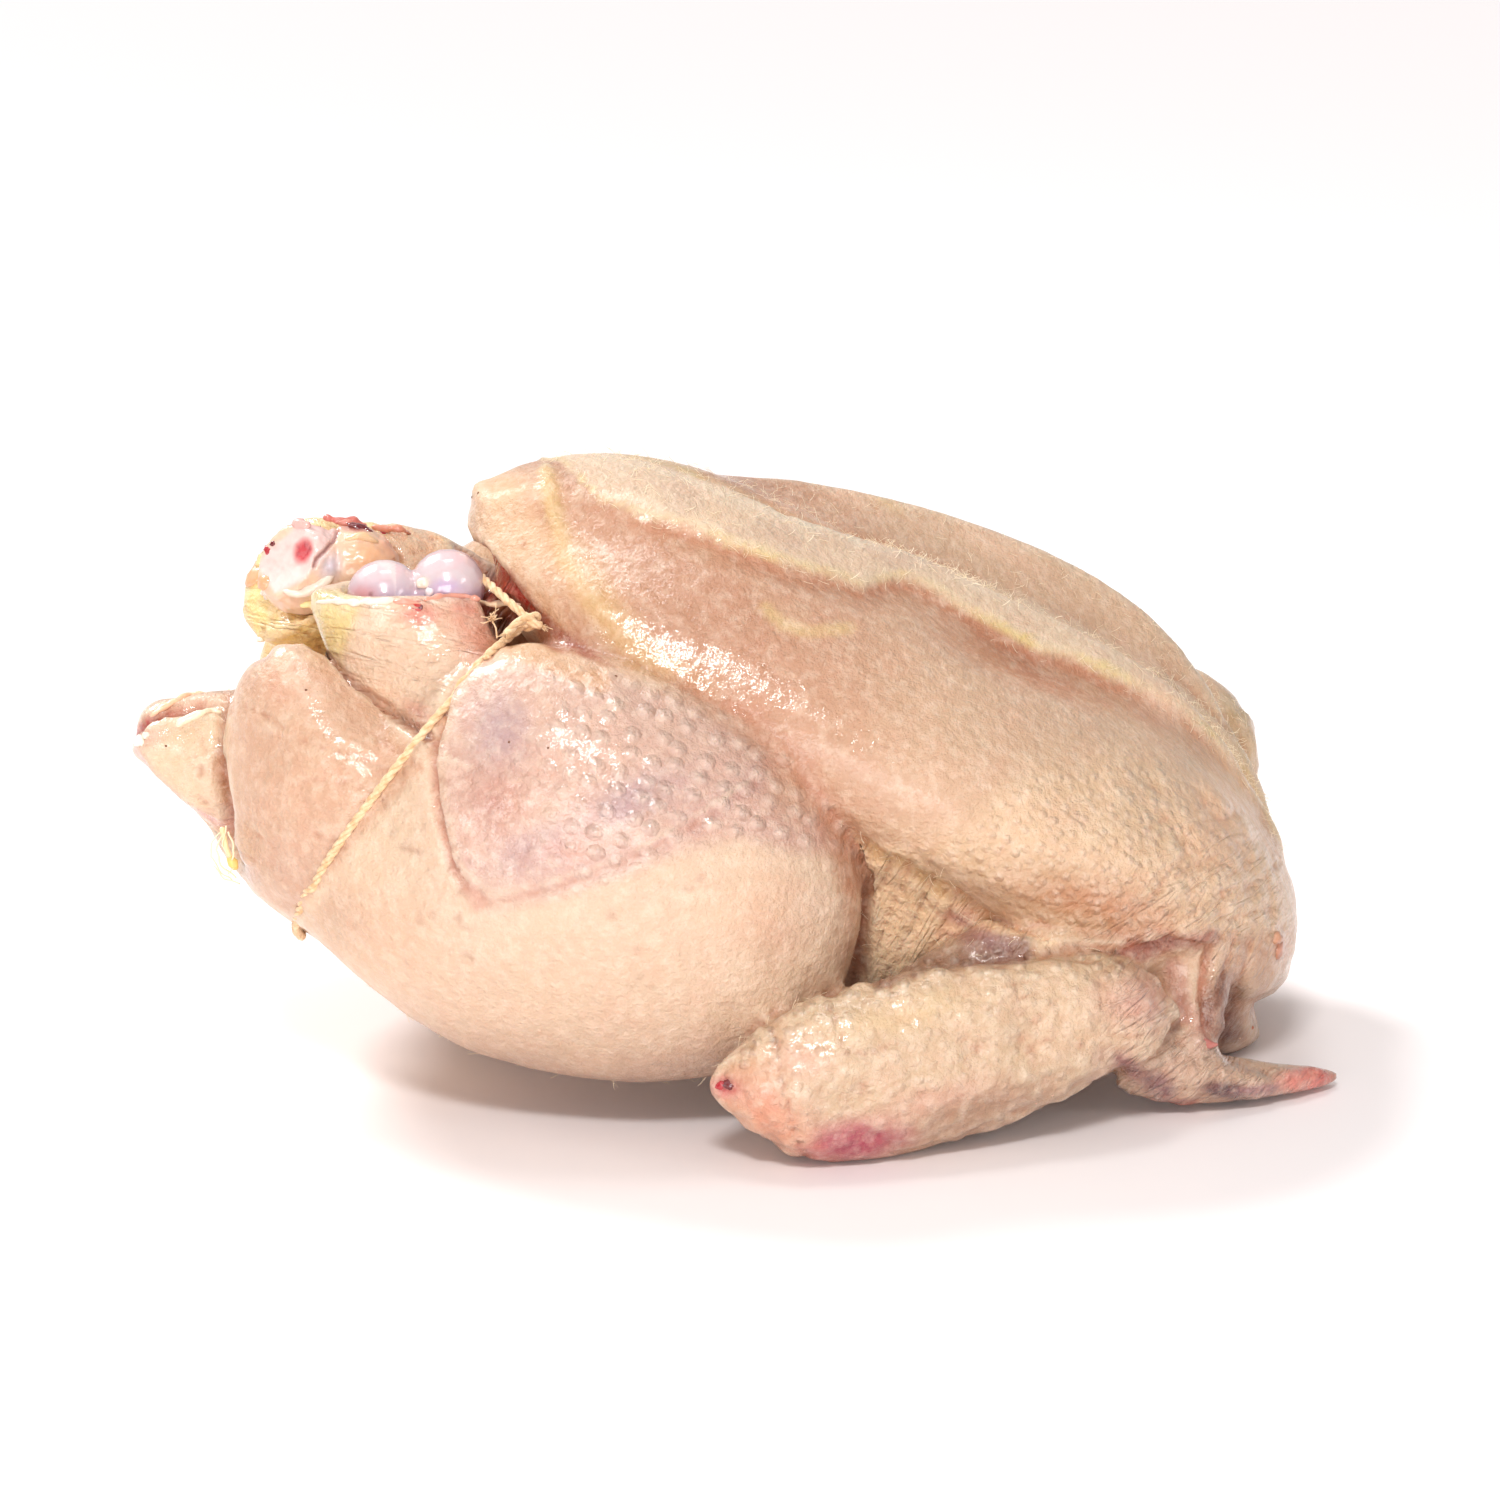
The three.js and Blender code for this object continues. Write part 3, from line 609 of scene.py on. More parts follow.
tones.lay(on_trunk, {
    "breast tip": ((236, 190, 148), tip_side * ease(sy, 640, 520)),
    "yellow line at the tip": ((240, 206, 112), ease(tip_line, 9, 2) * ease(sy, 560, 500) * 0.8),
    "ochre below it": ((222, 172, 112), along(TIP_OCHRE, 30, 8) * ease(sy, 520, 580) * 0.7),
    # painted shade: a dark red-brown line in the crease between skin and leg by the knot
    "red painted shade in the crease by the knot": ((176, 84, 56), along(KNOT_CREASE, 9, 2) * 0.7),
    "brown by the tip": ((218, 156, 108), spot(545, 610, 70, 60, 30) * 0.7),
    # painted shade at the edge of the crease over the leg
    "painted shade over the leg": ((214, 152, 116), spot(700, 712, 90, 26, 30) * 0.9),
    "yellow arc": ((240, 206, 144), along(YELLOW_ARC, 10, 2) * 0.6),
    "yellow dash": ((242, 204, 146), spot(905, 540, 46, 10, 32) * 0.8),
    "lower breast": ((242, 204, 166), area(LOWER_BREAST, 26) * 0.8),
    "shade above the wing": ((198, 146, 102), spot(1090, 905, 150, 50, 14) * 0.9),
    "its lower end": ((196, 130, 96), spot(1128, 938, 70, 20, -4) * 0.8),
    "light neck end": ((248, 206, 166), spot(1240, 780, 66, 120) * 0.85),
})
tones.lay(ease(co[:, 0], 60, 70) * (1 - on_wing), {
    # painted shade: a dark line in the fold at the neck
    "painted shade in the fold at the neck": ((176, 84, 58), along(NECK_FOLD, 14, 2) * 0.85),
})

tones.lay(on_leg, {
    "leg": ((240, 206, 178), 1),
    "its pale tail end": ((246, 212, 180), ease(sx, 470, 330) * 0.9),
})
tones.lay(drumstick, {
    "drumstick": ((224, 180, 164), 0.85),
    "mauve patches": ((184, 150, 160), 0.75 * (
        spot(540, 850, 70, 40, -20) + spot(500, 730, 50, 60) + spot(640, 800, 90, 40, -20))),
    "pink neck end": ((212, 164, 148), ease(sx, 640, 800) * 0.7),
})
tones.lay(on_leg, {
    "mauve lower edge": ((206, 158, 150), ease(lower_edge, 22, 6) * 0.5),
    "thigh": ((244, 212, 186), ease(lower_edge, 60, 30) * ease(sy, 860, 930) * 0.6),
    "red calf edge": ((222, 160, 138), along(CALF, 13, 2) * ease(sx, 520, 480) * 0.6),
    # painted shade: the leg darkened towards its bottom
    "painted shade underneath": ((188, 142, 122), ease(co[:, 2], 32, 6) * 0.7),
    "shade by the breast": ((206, 150, 120), along(BREAST_SHADE, 26, 4) * 0.75),
})

tones.lay(on_flap, {
    "flap": ((230, 182, 150), 1),
    "its lower end": ((218, 176, 150), ease(sy, 790, 880) * 0.7),
    "its pink top": ((236, 176, 148), spot(290, 680, 60, 40) * 0.6),
})
tones.lay(near_collar, {
    "collar": ((250, 214, 184), 1),
    "yellow end": ((255, 234, 150), ease(px + 5 * noise(co, 3, 219) + 0.25 * (py - 640), 358, 338)),
    "pink end": ((240, 160, 136), ease(px - 0.6 * (py - 600), 405, 460) * 0.85),
    "red rim": ((236, 120, 110), spot(470, 604, 34, 16, 10) * 0.8),
    "red round the wound": ((236, 110, 100), blot(1.4, 420, 612, 30, 22) * 0.85),
    "wound": ((196, 40, 48), spot(420, 608, 10, 8) * 0.9),
    "pink foot": ((238, 156, 136), spot(418, 716, 36, 20, 40) * 0.8),
})
tones.lay(far_collar, {
    # painted light: the far collar's own yellow and its pink end, laid brighter than white to lift the shade
    # the collar lies in
    "far collar with painted light": ((284, 246, 156), 0.95),
    "its pink end": ((268, 212, 172), ease(px, 366, 396)),
})

tones.lay(on_wing, {
    "wing": ((234, 198, 164), 1),
    "its top": ((228, 194, 156), top_of_wing * 0.8),
    "elbow": ((238, 178, 138), spot(748, 1082, 62, 52) * 0.9),
    # painted shade along the wing's underside
    "painted shade underneath": ((190, 146, 118), spot(980, 1112, 200, 46, -18) * 0.9),
    "bruise": ((206, 104, 118), blot(bruise_gain, 856, 1142, 84, 34, -6) * near_only * 0.85),
    "pink beside it": ((240, 186, 170), spot(780, 1120, 60, 60) * 0.4),
    "middle of the bruise": ((176, 62, 88), spot(856, 1150, 60, 16, -6) * near_only * 0.8),
    "wrist": ((220, 160, 146), spot(1146, 1002, 44, 50, 20) * 0.9),
    "hand": ((204, 168, 140), area(HAND, 8) * 0.9),
})
tones.lay(near_wing, {
    "purple wrist": ((150, 96, 96), spot(1160, 1084, 30, 20, 40) * 0.9),
    "mauve above it": ((176, 132, 132), spot(1128, 1064, 22, 10, 40) * 0.8),
    "orange lower edge": ((200, 96, 68), spot(1150, 1108, 54, 9, 6) * 0.8),
    "purple finger": ((120, 70, 72), spot(1226, 1095, 30, 12, 12) * 0.9),
    "mauve finger": ((176, 130, 140), spot(1262, 1094, 40, 9, -4) * 0.7),
    "orange corner": ((214, 112, 78), spot(1122, 1112, 22, 9, 4) * 0.9),
})
tones.lay(on_wing, {
    "finger tip": ((226, 120, 116), spot(1305, 1080, 46, 16, -2) * 0.95),
    "its red end": ((206, 72, 72), spot(1318, 1074, 16, 9, 10) * near_only * 0.8),
})
tones.lay(near_only, {
    "pink beside the hand": ((214, 136, 136), spot(1200, 1040, 16, 16) * 0.7),
})
tones.lay(near_wing, {
    "pink elbow": ((236, 160, 140), spot(740, 1090, 50, 36) * 0.6),
    "red elbow": ((206, 50, 54), blot(1.6, 722, 1087, 28, 17, 15)),
    "orange below it": ((240, 150, 120), spot(770, 1120, 70, 40, 40) * 0.7),
    "blood at the elbow": ((150, 20, 30), spot(726, 1084, 11, 8)),
})

tones.lay(web, {
    # painted light: the web's own pale tone, laid brighter than white to lift the shade the web lies in
    "web": ((284, 242, 196), 1),
    # painted shade along the web's fold
    "painted shade in its fold": ((206, 158, 96), ease(fold_line, 12, 4) * ease(sx, 1060, 980) * ease(aside, 20, 30) * 0.7),
    "mauve in the web": ((226, 160, 150), spot(962, 908, 34, 15, 10) * 0.9),
    "pink in the web": ((250, 176, 152), spot(965, 932, 44, 12, 20) * 0.8),
})
tones.lay(beside_wing, {
    # partly the skin's own purple, partly painted shade in the crease between web and wing
    "purple and painted shade at the armpit": ((176, 118, 118), spot(1005, 950, 62, 16, 6) * 0.9),
    "violet in it": ((190, 150, 170), spot(985, 955, 34, 12, 10) * 0.7),
})

tones.lay(neck, {
    "neck": ((204, 150, 112), 0.9),
    "its pale edge": ((232, 192, 158), ease(sx, 1262, 1282) * 0.8),
    # painted shade in the hollow between the neck skin and the neck
    "painted shade in its hollow": ((150, 84, 52), area(NECK_HOLLOW, 10) * 0.85),
})
tones.lay(1, {
    "pink neck end": ((226, 160, 140), spot(1281, 948, 13, 18) * 0.9),
    "knob": ((216, 180, 132), knob * 0.9),
})
tones.lay(tail, {
    "tail": ((250, 214, 178), 1),
    "pink upper lip": ((238, 176, 150), ease(sy, 712, 700) * 0.7),
    "split": ((236, 160, 140), ease(split_line, 7, 3) * ease(sx, 230, 180)),
    "red end of the split": ((190, 36, 48), ease(split_line, 6, 2) * ease(sx, 178, 158)),
    "pink round it": ((226, 128, 124), spot(148, 738, 26, 14, -20) * 0.7),
    "grooves": ((240, 190, 158), np.clip(-tail_fan, 0, 1) * 0.6),
    "pink lower edge": ((232, 150, 140), along(TAIL_LOW, 8, 2) * 0.8),
    "shade by the leg": ((196, 130, 88), along(TAIL_SHADE, 20, 4, direct) * 0.8),
})
tones.lay(meat, {
    "meat": ((250, 42, 38), 1),
    "its brown top": ((190, 50, 48), spot(494, 578, 22, 14, 40, direct) * 0.9),
    # painted shade on the meat's far side, and a painted shadow in the gap by the knot
    "painted shade on its side": ((150, 40, 30), ease(px - 0.7 * py, 72, 60) * ease(py, 574, 590) * 0.8),
    "painted shadow in the gap": ((70, 12, 6), spot(508, 626, 20, 20, -30, direct) * 1.4),
})

tones.lay(1, {
    "darker patches": ((226, 176, 144), ease(patchy, 0.15, 0.6) * 0.22),
    "paler patches": ((250, 218, 184), ease(patchy, -0.15, -0.6) * 0.16),
    # painted shade: skin darkened where it meets the floor
    "painted shade where it meets the floor": ((206, 150, 120), ease(co[:, 2], 9, 0) * 0.5),
    # painted shade in the grooves along the flap's front and back edges
    "painted shade at the edge of the flap": (
        (176, 92, 60),
        along(FLAP_EDGE, 6, 1, direct) * near_only * ease(px, 280, 310) * 0.7,
    ),
    "painted shade at its back edge": (
        (150, 84, 60),
        along(FLAP_BACK_EDGE, 8, 1, direct) * near_only * ease(py, 668, 690) * 0.6,
    ),
    # painted shade along the calf crease
    "painted shade along the calf crease": ((196, 130, 108), along(CALF, 7, 1) * on_leg * ease(sy, 900, 840) * 0.5),
})
shape_out = normals(skin.data)
hollow = ((relaxed(co, ends, 5) - co) * shape_out).sum(axis=1)
deep = ((relaxed(co, ends, 45) - co) * shape_out).sum(axis=1)
freckle = ease(noise(co, 2.6, 221), 0.62, 0.8) * ease(noise(co, 22, 222), -0.1, 0.3)
tones.lay(1, {
    # painted shade in hollows and painted light on raised places, from the skin's curvature
    "painted shade in small hollows": ((200, 118, 80), ease(hollow, 0.05, 0.32) * 0.42),
    "painted shade in deep hollows": ((176, 92, 58), ease(deep, 0.6, 3.0) * 0.5),
    "painted light on raised places": ((255, 234, 206), ease(-hollow, 0.04, 0.30) * 0.4),
    "freckles": ((176, 120, 90), freckle * (on_leg + on_flap) * 0.4),
    "dull patches": ((206, 156, 124), (on_leg + on_flap) * 0.55 * (
        spot(340, 915, 80, 50, 40) + spot(775, 930, 60, 70, 20) + spot(790, 790, 40, 60, -20))),
    # partly the skin's own purple, partly painted shade in the crease under the web
    "purple and painted shade under the web": ((176, 118, 108), blot(1.4, 985, 950, 48, 13, 6, direct) * near_flank * 0.7),
    "violet under the web": ((196, 160, 172), blot(1.2, 1000, 948, 26, 8, 4, direct) * near_only * 0.45),
    # painted shade in the crease over the wrist
    "painted shade in the crease over the wrist": ((160, 78, 54), along(OVER_WRIST, 12, 3, direct) * beside_wing * 0.85),
    # painted shade in the neck hollow
    "painted shade in the neck hollow": ((126, 66, 44), area(NECK_DARK, 8, direct) * beside_wing * 0.85),
    "pink by the neck": ((206, 140, 126), along(WRIST_BACK, 16, 5, direct) * beside_wing * 0.6),
    "pale collar foot": ((276, 226, 190), spot(376, 706, 50, 38, 40, direct) * near_collar * 0.7),
    "brown on the drumstick": ((226, 164, 140), drumstick * 0.5 * (
        spot(500, 800, 50, 50) + spot(560, 850, 70, 26, -16))),
    "brown knee": ((226, 172, 142), spot(790, 775, 40, 40) * on_leg * 0.6),
    "pink thigh": ((240, 192, 160), on_leg * 0.5 * (
        spot(390, 930, 60, 90, -30) + spot(760, 905, 60, 70, 20))),
})
tones.lay(on_trunk, {
    "orange above the wing": ((220, 140, 100), spot(1100, 905, 130, 30, 12) * 0.4),
    "pale neck end": ((250, 196, 160), spot(1215, 830, 50, 90) * 0.5),
})
tones.lay(1, {
    # painted shade in the crease between leg and breast
    "painted shade between leg and breast": ((196, 124, 88), along(LEG_CREASE, 26, 4) * (on_leg + on_trunk) * 0.6),
    "violet on the drumstick": ((190, 132, 124), spot(492, 800, 44, 60) * drumstick * 0.5),
    # painted light along the keel's crest
    "painted light on the keel": ((255, 214, 184), on_trunk * 0.6 * (
        spot(860, 530, 70, 14, 24) + spot(1030, 594, 70, 14, 22) + spot(1165, 704, 60, 30, 40))),
    "ochre web": ((240, 186, 140), spot(862, 940, 26, 34) * web * 0.6),
    # painted shade in the crease between web and wing
    "painted shade in the crease over the wing": ((130, 72, 56), along(OVER_WING, 11, 3, direct) * near_flank * 0.7),
})
tones.lay(on_wing, {
    "pink wing patches": ((246, 178, 164), near_only * 0.4 * (
        spot(1120, 1000, 60, 40) + spot(800, 1060, 50, 34) + spot(930, 1100, 90, 24, -18))),
    "yellow top": ((250, 216, 160), spot(905, 1015, 120, 26, -16) * 0.4),
    "orange elbow": ((246, 164, 128), blot(1.3, 776, 1126, 66, 40, 34) * near_only * 0.45),
})
tones.lay(on_trunk, {
    "light over the leg": ((255, 196, 160), spot(735, 740, 60, 24, 30) * 0.4),
})
glove = area(GLOVE, 6, direct) * near_only * ease(co[:, 2], 50, 40)
tones.lay(glove, {
    "whole hand": ((212, 168, 146), 0.5),
    "mauve knuckle": ((150, 90, 92), blot(1.8, 1128, 1066, 26, 14, 40, direct) * 0.9),
    "purple knuckle": ((116, 58, 74), blot(1.8, 1158, 1086, 30, 17, 40, direct) * 0.9),
    "dark finger": ((84, 32, 50), blot(2.2, 1226, 1092, 34, 15, 8, direct)),
    "mauve finger": ((160, 108, 124), blot(1.5, 1262, 1090, 42, 10, -4, direct) * 0.75),
    "orange edge": ((176, 56, 34), along(HAND_EDGE, 12, 4, direct) * 0.9),
    "pink tip": ((244, 138, 128), blot(1.6, 1306, 1080, 42, 20, -2, direct) * 0.9),
    "red tip": ((222, 84, 76), blot(1.3, 1316, 1075, 18, 9, 10, direct) * 0.85),
})
tones.lay(near_wing, {
    "dark bruise": ((190, 56, 92), blot(1.5, 858, 1146, 74, 20, -8, direct) * 0.75),
    "its end": ((226, 120, 116), blot(1.2, 815, 1152, 30, 14, 10, direct) * 0.6),
})
tones.lay(1, {
    "streak below the tip": (
        (236, 190, 130),
        along(TIP_STREAK, 16, 4) * on_trunk * ease(sx, 725, 590) * 0.65,
    ),
    # painted shade in the crease between breast and drumstick
    "painted shade in the crease by the drumstick": ((164, 70, 40), along(DRUMSTICK_CREASE, 9, 2) * on_trunk * 0.9),
    "ochre below the knot": ((224, 166, 114), along(KNOT_OCHRE, 16, 5) * (on_leg + on_trunk) * 0.7),
})
paint(skin.data, "tone", tones.colour / LIGHT_LEVEL * WARMTH)

# How wet the skin is: 0 matte, 1 shining

wet = 0.44 + 0.2 * ease(patchy, -0.4, 0.4)
wet += 0.75 * spot(700, 645, 140, 70, 32) * on_trunk + 0.5 * spot(600, 570, 80, 110, 30) * on_trunk
wet += 0.25 * drumstick + 0.3 * spot(880, 1050, 190, 90, -18) * on_wing + 0.3 * area(HAND, 8) + 0.5 * meat
wet += 0.12 * spot(320, 735, 80, 60) * on_flap + 0.2 * tail + 0.2 * near_collar
wet -= 0.2 * on_band + 0.1 * on_leg * ease(sy, 920, 980) + 0.6 * blot(1.4, 508, 490, 64, 26)
number(skin.data, "wet", np.clip(wet, 0, 1))

# Where the finish's fine relief lies

edge_of_leg = along(LEG_EDGE, 60, 10)
shin_bumps = drumstick * (0.3 + 0.7 * ease(sx, 520, 600))
leg_bumps = np.maximum(shin_bumps, 0.7 * edge_of_leg * on_leg * ease(sy, 960, 880))
wing_bumps = np.maximum(top_of_wing * on_wing, 0.4 * on_wing)
paint(skin.data, "bumps", np.stack([leg_bumps, wing_bumps, lower_breast], axis=-1))
paint(skin.data, "folds", np.stack([
    np.maximum(np.maximum(0.3 * web, meat), 0.3 * neck),
    np.maximum(0.1 * on_flap, np.maximum(0.8 * far_collar * ease(px, 366, 340), 0.55 * near_collar)),
    np.maximum(0.4 * lower_breast * ease(sx + 1.6 * sy, 2440, 2640), 0.5 * on_wing * ease(sx, 1080, 1130)),
], axis=-1))

# Materials


class Nodes:
    """A node tree with helpers that add nodes and fill their inputs."""

    def __init__(self, tree):
        self.tree = tree

    def plug(self, socket, value):
        """Links a socket to another node's output, or gives it a value."""
        if hasattr(value, "links"):
            self.tree.links.new(value, socket)
        elif socket.type == "RGBA":
            socket.default_value = (*value, 1)
        else:
            socket.default_value = value

    def node(self, kind, plugs=None, **settings):
        """A new node; plugs gives the values of its inputs."""
        made = self.tree.nodes.new(kind)
        for key, value in settings.items():
            setattr(made, key, value)
        for key, value in (plugs or {}).items():
            self.plug(made.inputs[key], value)
        return made

    def math(self, operation, first, second):
        return self.node("ShaderNodeMath", {0: first, 1: second}, operation=operation).outputs[0]

    def product(self, first, *others):
        for other in others:
            first = self.math("MULTIPLY", first, other)
        return first

    def total(self, first, *others):
        for other in others:
            first = self.math("ADD", first, other)
        return first


class Finish(Nodes):
    """A material; sizes are in millimetres."""

    def __init__(self, name):
        self.material = bpy.data.materials.new(name)
        self.material.use_nodes = True
        super().__init__(self.material.node_tree)
        self.shader = self.tree.nodes["Principled BSDF"]
        self.place = self.node("ShaderNodeTexCoord").outputs["Object"]

    def attribute(self, name, output="Fac"):
        return self.node("ShaderNodeAttribute", attribute_name=name).outputs[output]

    def channels(self, name):
        """Red, green and blue of a colour attribute."""
        return self.node("ShaderNodeSeparateColor", {"Color": self.attribute(name, "Color")}).outputs

    def noise(self, size, detail=3.0, roughness=0.55, stretch=(1, 1, 1)):
        """Noise with lumps of a size."""
        place = self.node("ShaderNodeMapping", {"Vector": self.place, "Scale": stretch}).outputs["Vector"]
        plugs = {"Vector": place, "Scale": 1 / (size * MM), "Detail": detail, "Roughness": roughness}
        return self.node("ShaderNodeTexNoise", plugs).outputs["Fac"]

    def in_plane(self, turn, long, short, deep=30.0):
        """Object coordinates in a photo_turn frame, divided by sizes."""
        scale = (long * MM, short * MM, deep * MM)
        plugs = {"Vector": self.place, "Rotation": photo_turn(turn), "Scale": scale}
        return self.node("ShaderNodeMapping", plugs, vector_type="TEXTURE").outputs["Vector"]

    def cells(self, turn, wide, high, randomness):
        """Distance to the middle of the nearest of many cells, for pores and bumps."""
        plugs = {"Vector": self.in_plane(turn, wide, high), "Scale": 1, "Randomness": randomness}
        return self.node("ShaderNodeTexVoronoi", plugs, voronoi_dimensions="2D").outputs["Distance"]

    def wrinkles(self, turn, long, short, sway, wide):
        """Height from -1 in a wrinkle to 0 beside it; wide is the share of the noise that slopes."""
        plugs = {"Vector": self.in_plane(turn, long, short), "Scale": 1, "Detail": 1, "Distortion": sway}
        drawn = self.node("ShaderNodeTexNoise", plugs).outputs["Fac"]
        return self.range(self.math("ABSOLUTE", self.math("SUBTRACT", drawn, 0.5), 0), 0.0, wide, -1.0, 0.0)

    def goose_bumps(self, turn, spacing, randomness=0.45):
        """Height from 0 to 1 of follicle bumps in staggered rows."""
        return self.range(self.cells(turn, spacing, spacing * 0.86, randomness), 0.02, 0.40, 1.0, 0.0)

    def range(self, value, low, high, new_low, new_high):
        plugs = {"Value": value, "From Min": low, "From Max": high, "To Min": new_low, "To Max": new_high}
        return self.node("ShaderNodeMapRange", plugs).outputs["Result"]

    def mix(self, share, first, second):
        """Mixes two colours."""
        return self.node("ShaderNodeMix", {0: share, 6: first, 7: second}, data_type="RGBA").outputs[2]

    def bump(self, height, distance, strength=1.0, under=None):
        plugs = {"Height": height, "Distance": distance * MM, "Strength": strength}
        if under is not None:
            plugs["Normal"] = under
        return self.node("ShaderNodeBump", plugs).outputs["Normal"]

    def set(self, **values):
        """Fills the shader's own sockets."""
        for key, value in values.items():
            self.plug(self.shader.inputs[key.replace("_", " ")], value)


def photo_turn(turn):
    """Turn of a frame in the photo's plane: x along a wrinkle, y across it, z towards the eye."""
    c, s = math.cos(math.radians(turn)), math.sin(math.radians(turn))
    along_it = right * c - up * s
    across_it = up * c + right * s
    return Matrix(np.stack([along_it, across_it, back], axis=1).tolist()).to_euler()


def skin_finish():
    f = Finish("skin")
    tone, wet = f.attribute("tone", "Color"), f.attribute("wet")
    bumps, folds = f.channels("bumps"), f.channels("folds")
    goose = f.total(
        f.product(f.goose_bumps(20, 5.2), bumps["Red"]),
        f.product(f.goose_bumps(-15, 3.4, 0.7), bumps["Green"], 0.8),
        f.product(f.goose_bumps(35, 3.0, 0.9), bumps["Blue"], 0.45),
    )
    steep = f.product(f.wrinkles(-60, 18, 3.0, 0.8, 0.13), folds["Red"])
    level = f.product(f.wrinkles(10, 12, 2.8, 0.7, 0.13), 0.5, folds["Green"])
    rising = f.product(f.wrinkles(-26, 16, 3.2, 0.7, 0.16), folds["Blue"])
    rising_fine = f.product(f.wrinkles(-44, 8, 2.0, 0.8, 0.14), folds["Blue"], 0.5)
    creased = f.total(steep, level, f.total(rising, rising_fine))

    mottled = f.mix(f.range(f.noise(7, 3), 0.42, 0.72, 0.0, 0.14), tone, linear(218, 160, 136))
    pale = f.mix(f.range(f.noise(3.0, 4, 0.65), 0.46, 0.66, 0.0, 0.2), mottled, linear(250, 230, 208))
    fine = f.mix(f.range(f.noise(0.9, 2, 0.7), 0.5, 0.76, 0.0, 0.17), pale, linear(214, 156, 118))
    bumped = f.mix(f.product(goose, 0.34), fine, linear(246, 222, 204))
    patch = f.range(f.noise(4, 3), 0.35, 0.65, 0.12, -0.12)
    dry = f.product(f.math("SUBTRACT", 1.0, wet), 0.4)
    grainy = f.bump(f.noise(2.2, 4, 0.66), 1.4, 0.8)
    pores = f.bump(f.range(f.cells(0, 1.5, 1.5, 0.8), 0.0, 0.6, 0.0, 1.0), 0.12, 0.4, grainy)
    film = f.bump(f.noise(1.8, 3, 0.6), 0.5, 0.5)
    f.set(
        # the base colour is darkened in the wrinkles' valleys: painted shade
        Base_Color=f.mix(f.product(creased, -0.22), bumped, linear(196, 128, 90)),
        Roughness=f.total(dry, 0.26, patch),
        Normal=f.bump(f.total(goose, creased), 1.0, 1.0, pores),
        Subsurface_Weight=0.15,
        Subsurface_Scale=0.003,
        Subsurface_Radius=(1.0, 0.4, 0.22),
        Specular_IOR_Level=0.5,
        Coat_Weight=f.range(wet, 0.1, 1.0, 0.1, 1.0),
        Coat_Roughness=0.06,
        Coat_Normal=f.bump(f.total(goose, f.product(creased, 0.7)), 0.45, 0.7, film),
    )
    return f.material


def plain_material(name, colour, roughness):
    f = Finish(name)
    f.set(Base_Color=colour, Roughness=roughness)
    return f.material


def gristle_finish(name, roughness, coat, depth):
    """Wet gristle or bone that shows its tone attribute."""
    f = Finish(name)
    darker = f.range(f.noise(1.2, 3), 0.45, 0.7, 0.0, 0.2)
    f.set(
        Base_Color=f.mix(darker, f.attribute("tone", "Color"), linear(206, 170, 170)),
        Normal=f.bump(f.noise(1.1, 3), depth, 0.5),
        Roughness=roughness,
        Coat_Weight=coat,
        Coat_Roughness=0.05,
        Subsurface_Weight=0.2,
        Subsurface_Scale=0.003,
        Subsurface_Radius=(1.0, 0.5, 0.5),
    )
    return f.material


def string_finish():
    f = Finish("string")
    dark_share = f.range(f.noise(1.6, 3), 0.35, 0.65, 0.0, 1.0)
    f.set(
        Base_Color=f.mix(dark_share, linear(240, 208, 168), linear(214, 170, 122)),
        Normal=f.bump(f.noise(0.25, 2, stretch=(1, 1, 0.5)), 0.12, 0.8),
        Roughness=0.85,
        Sheen_Weight=0.2,
    )
    return f.material


def settle(piece, node, finish):
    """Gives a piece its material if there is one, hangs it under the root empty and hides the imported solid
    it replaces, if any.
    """
    if finish:
        piece.data.materials.append(finish)
    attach(piece, "root")
    if node:
        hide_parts(node)


settle(skin, "carcass", skin_finish())

# Shin bone ends

def bone(node, name, voxel, rounds):
    """A smoothed copy of a packed bone, with its places, normals and photo pixels."""
    piece = remeshed(node, voxel, name)
    points = relaxed(places(piece.data), edge_ends(piece.data), rounds)
    put(piece.data, points)
    smooth(piece.data)
    return piece, points, normals(piece.data), np.stack(photo_pixels(points), axis=-1)


BONE_VOXEL = 0.42
pearls, points, out, where = bone("near_shin_bone", "pearls", BONE_VOXEL, 6)
HEAD_MIDDLE = (366, 592)
from_head = np.hypot(where[:, 0] - HEAD_MIDDLE[0], where[:, 1] - HEAD_MIDDLE[1])
pearl = Tones(len(points), (206, 188, 190))
pearl.lay(1, {
    "pink top": ((226, 188, 190), ease(out[:, 2], 0.5, 0.95) * 0.8),
    "mauve foot": ((172, 142, 170), ease(where[:, 1], 572, 604) * 0.75),
    # painted rim light on the outer rim of the heads
    "painted rim light": ((240, 222, 216), ease(from_head, 27, 33) * (where[:, 0] < 396) * 0.6),
    "red glow": ((204, 138, 138), spot(362, 594, 26, 16, 0, where) * 0.8),
    "violet glow": ((186, 160, 196), spot(446, 586, 22, 12, 0, where) * 0.8),
    "dark dot": ((120, 60, 60), spot(371, 594, 4, 4, 0, where) * 0.8),
    "gristle between the heads": ((228, 210, 190), spot(423, 582, 11, 9, 0, where) * 0.9),
})
paint(pearls.data, "tone", pearl.colour)
settle(pearls, "near_shin_bone", gristle_finish("near_bone", 0.22, 0.8, 0.08))

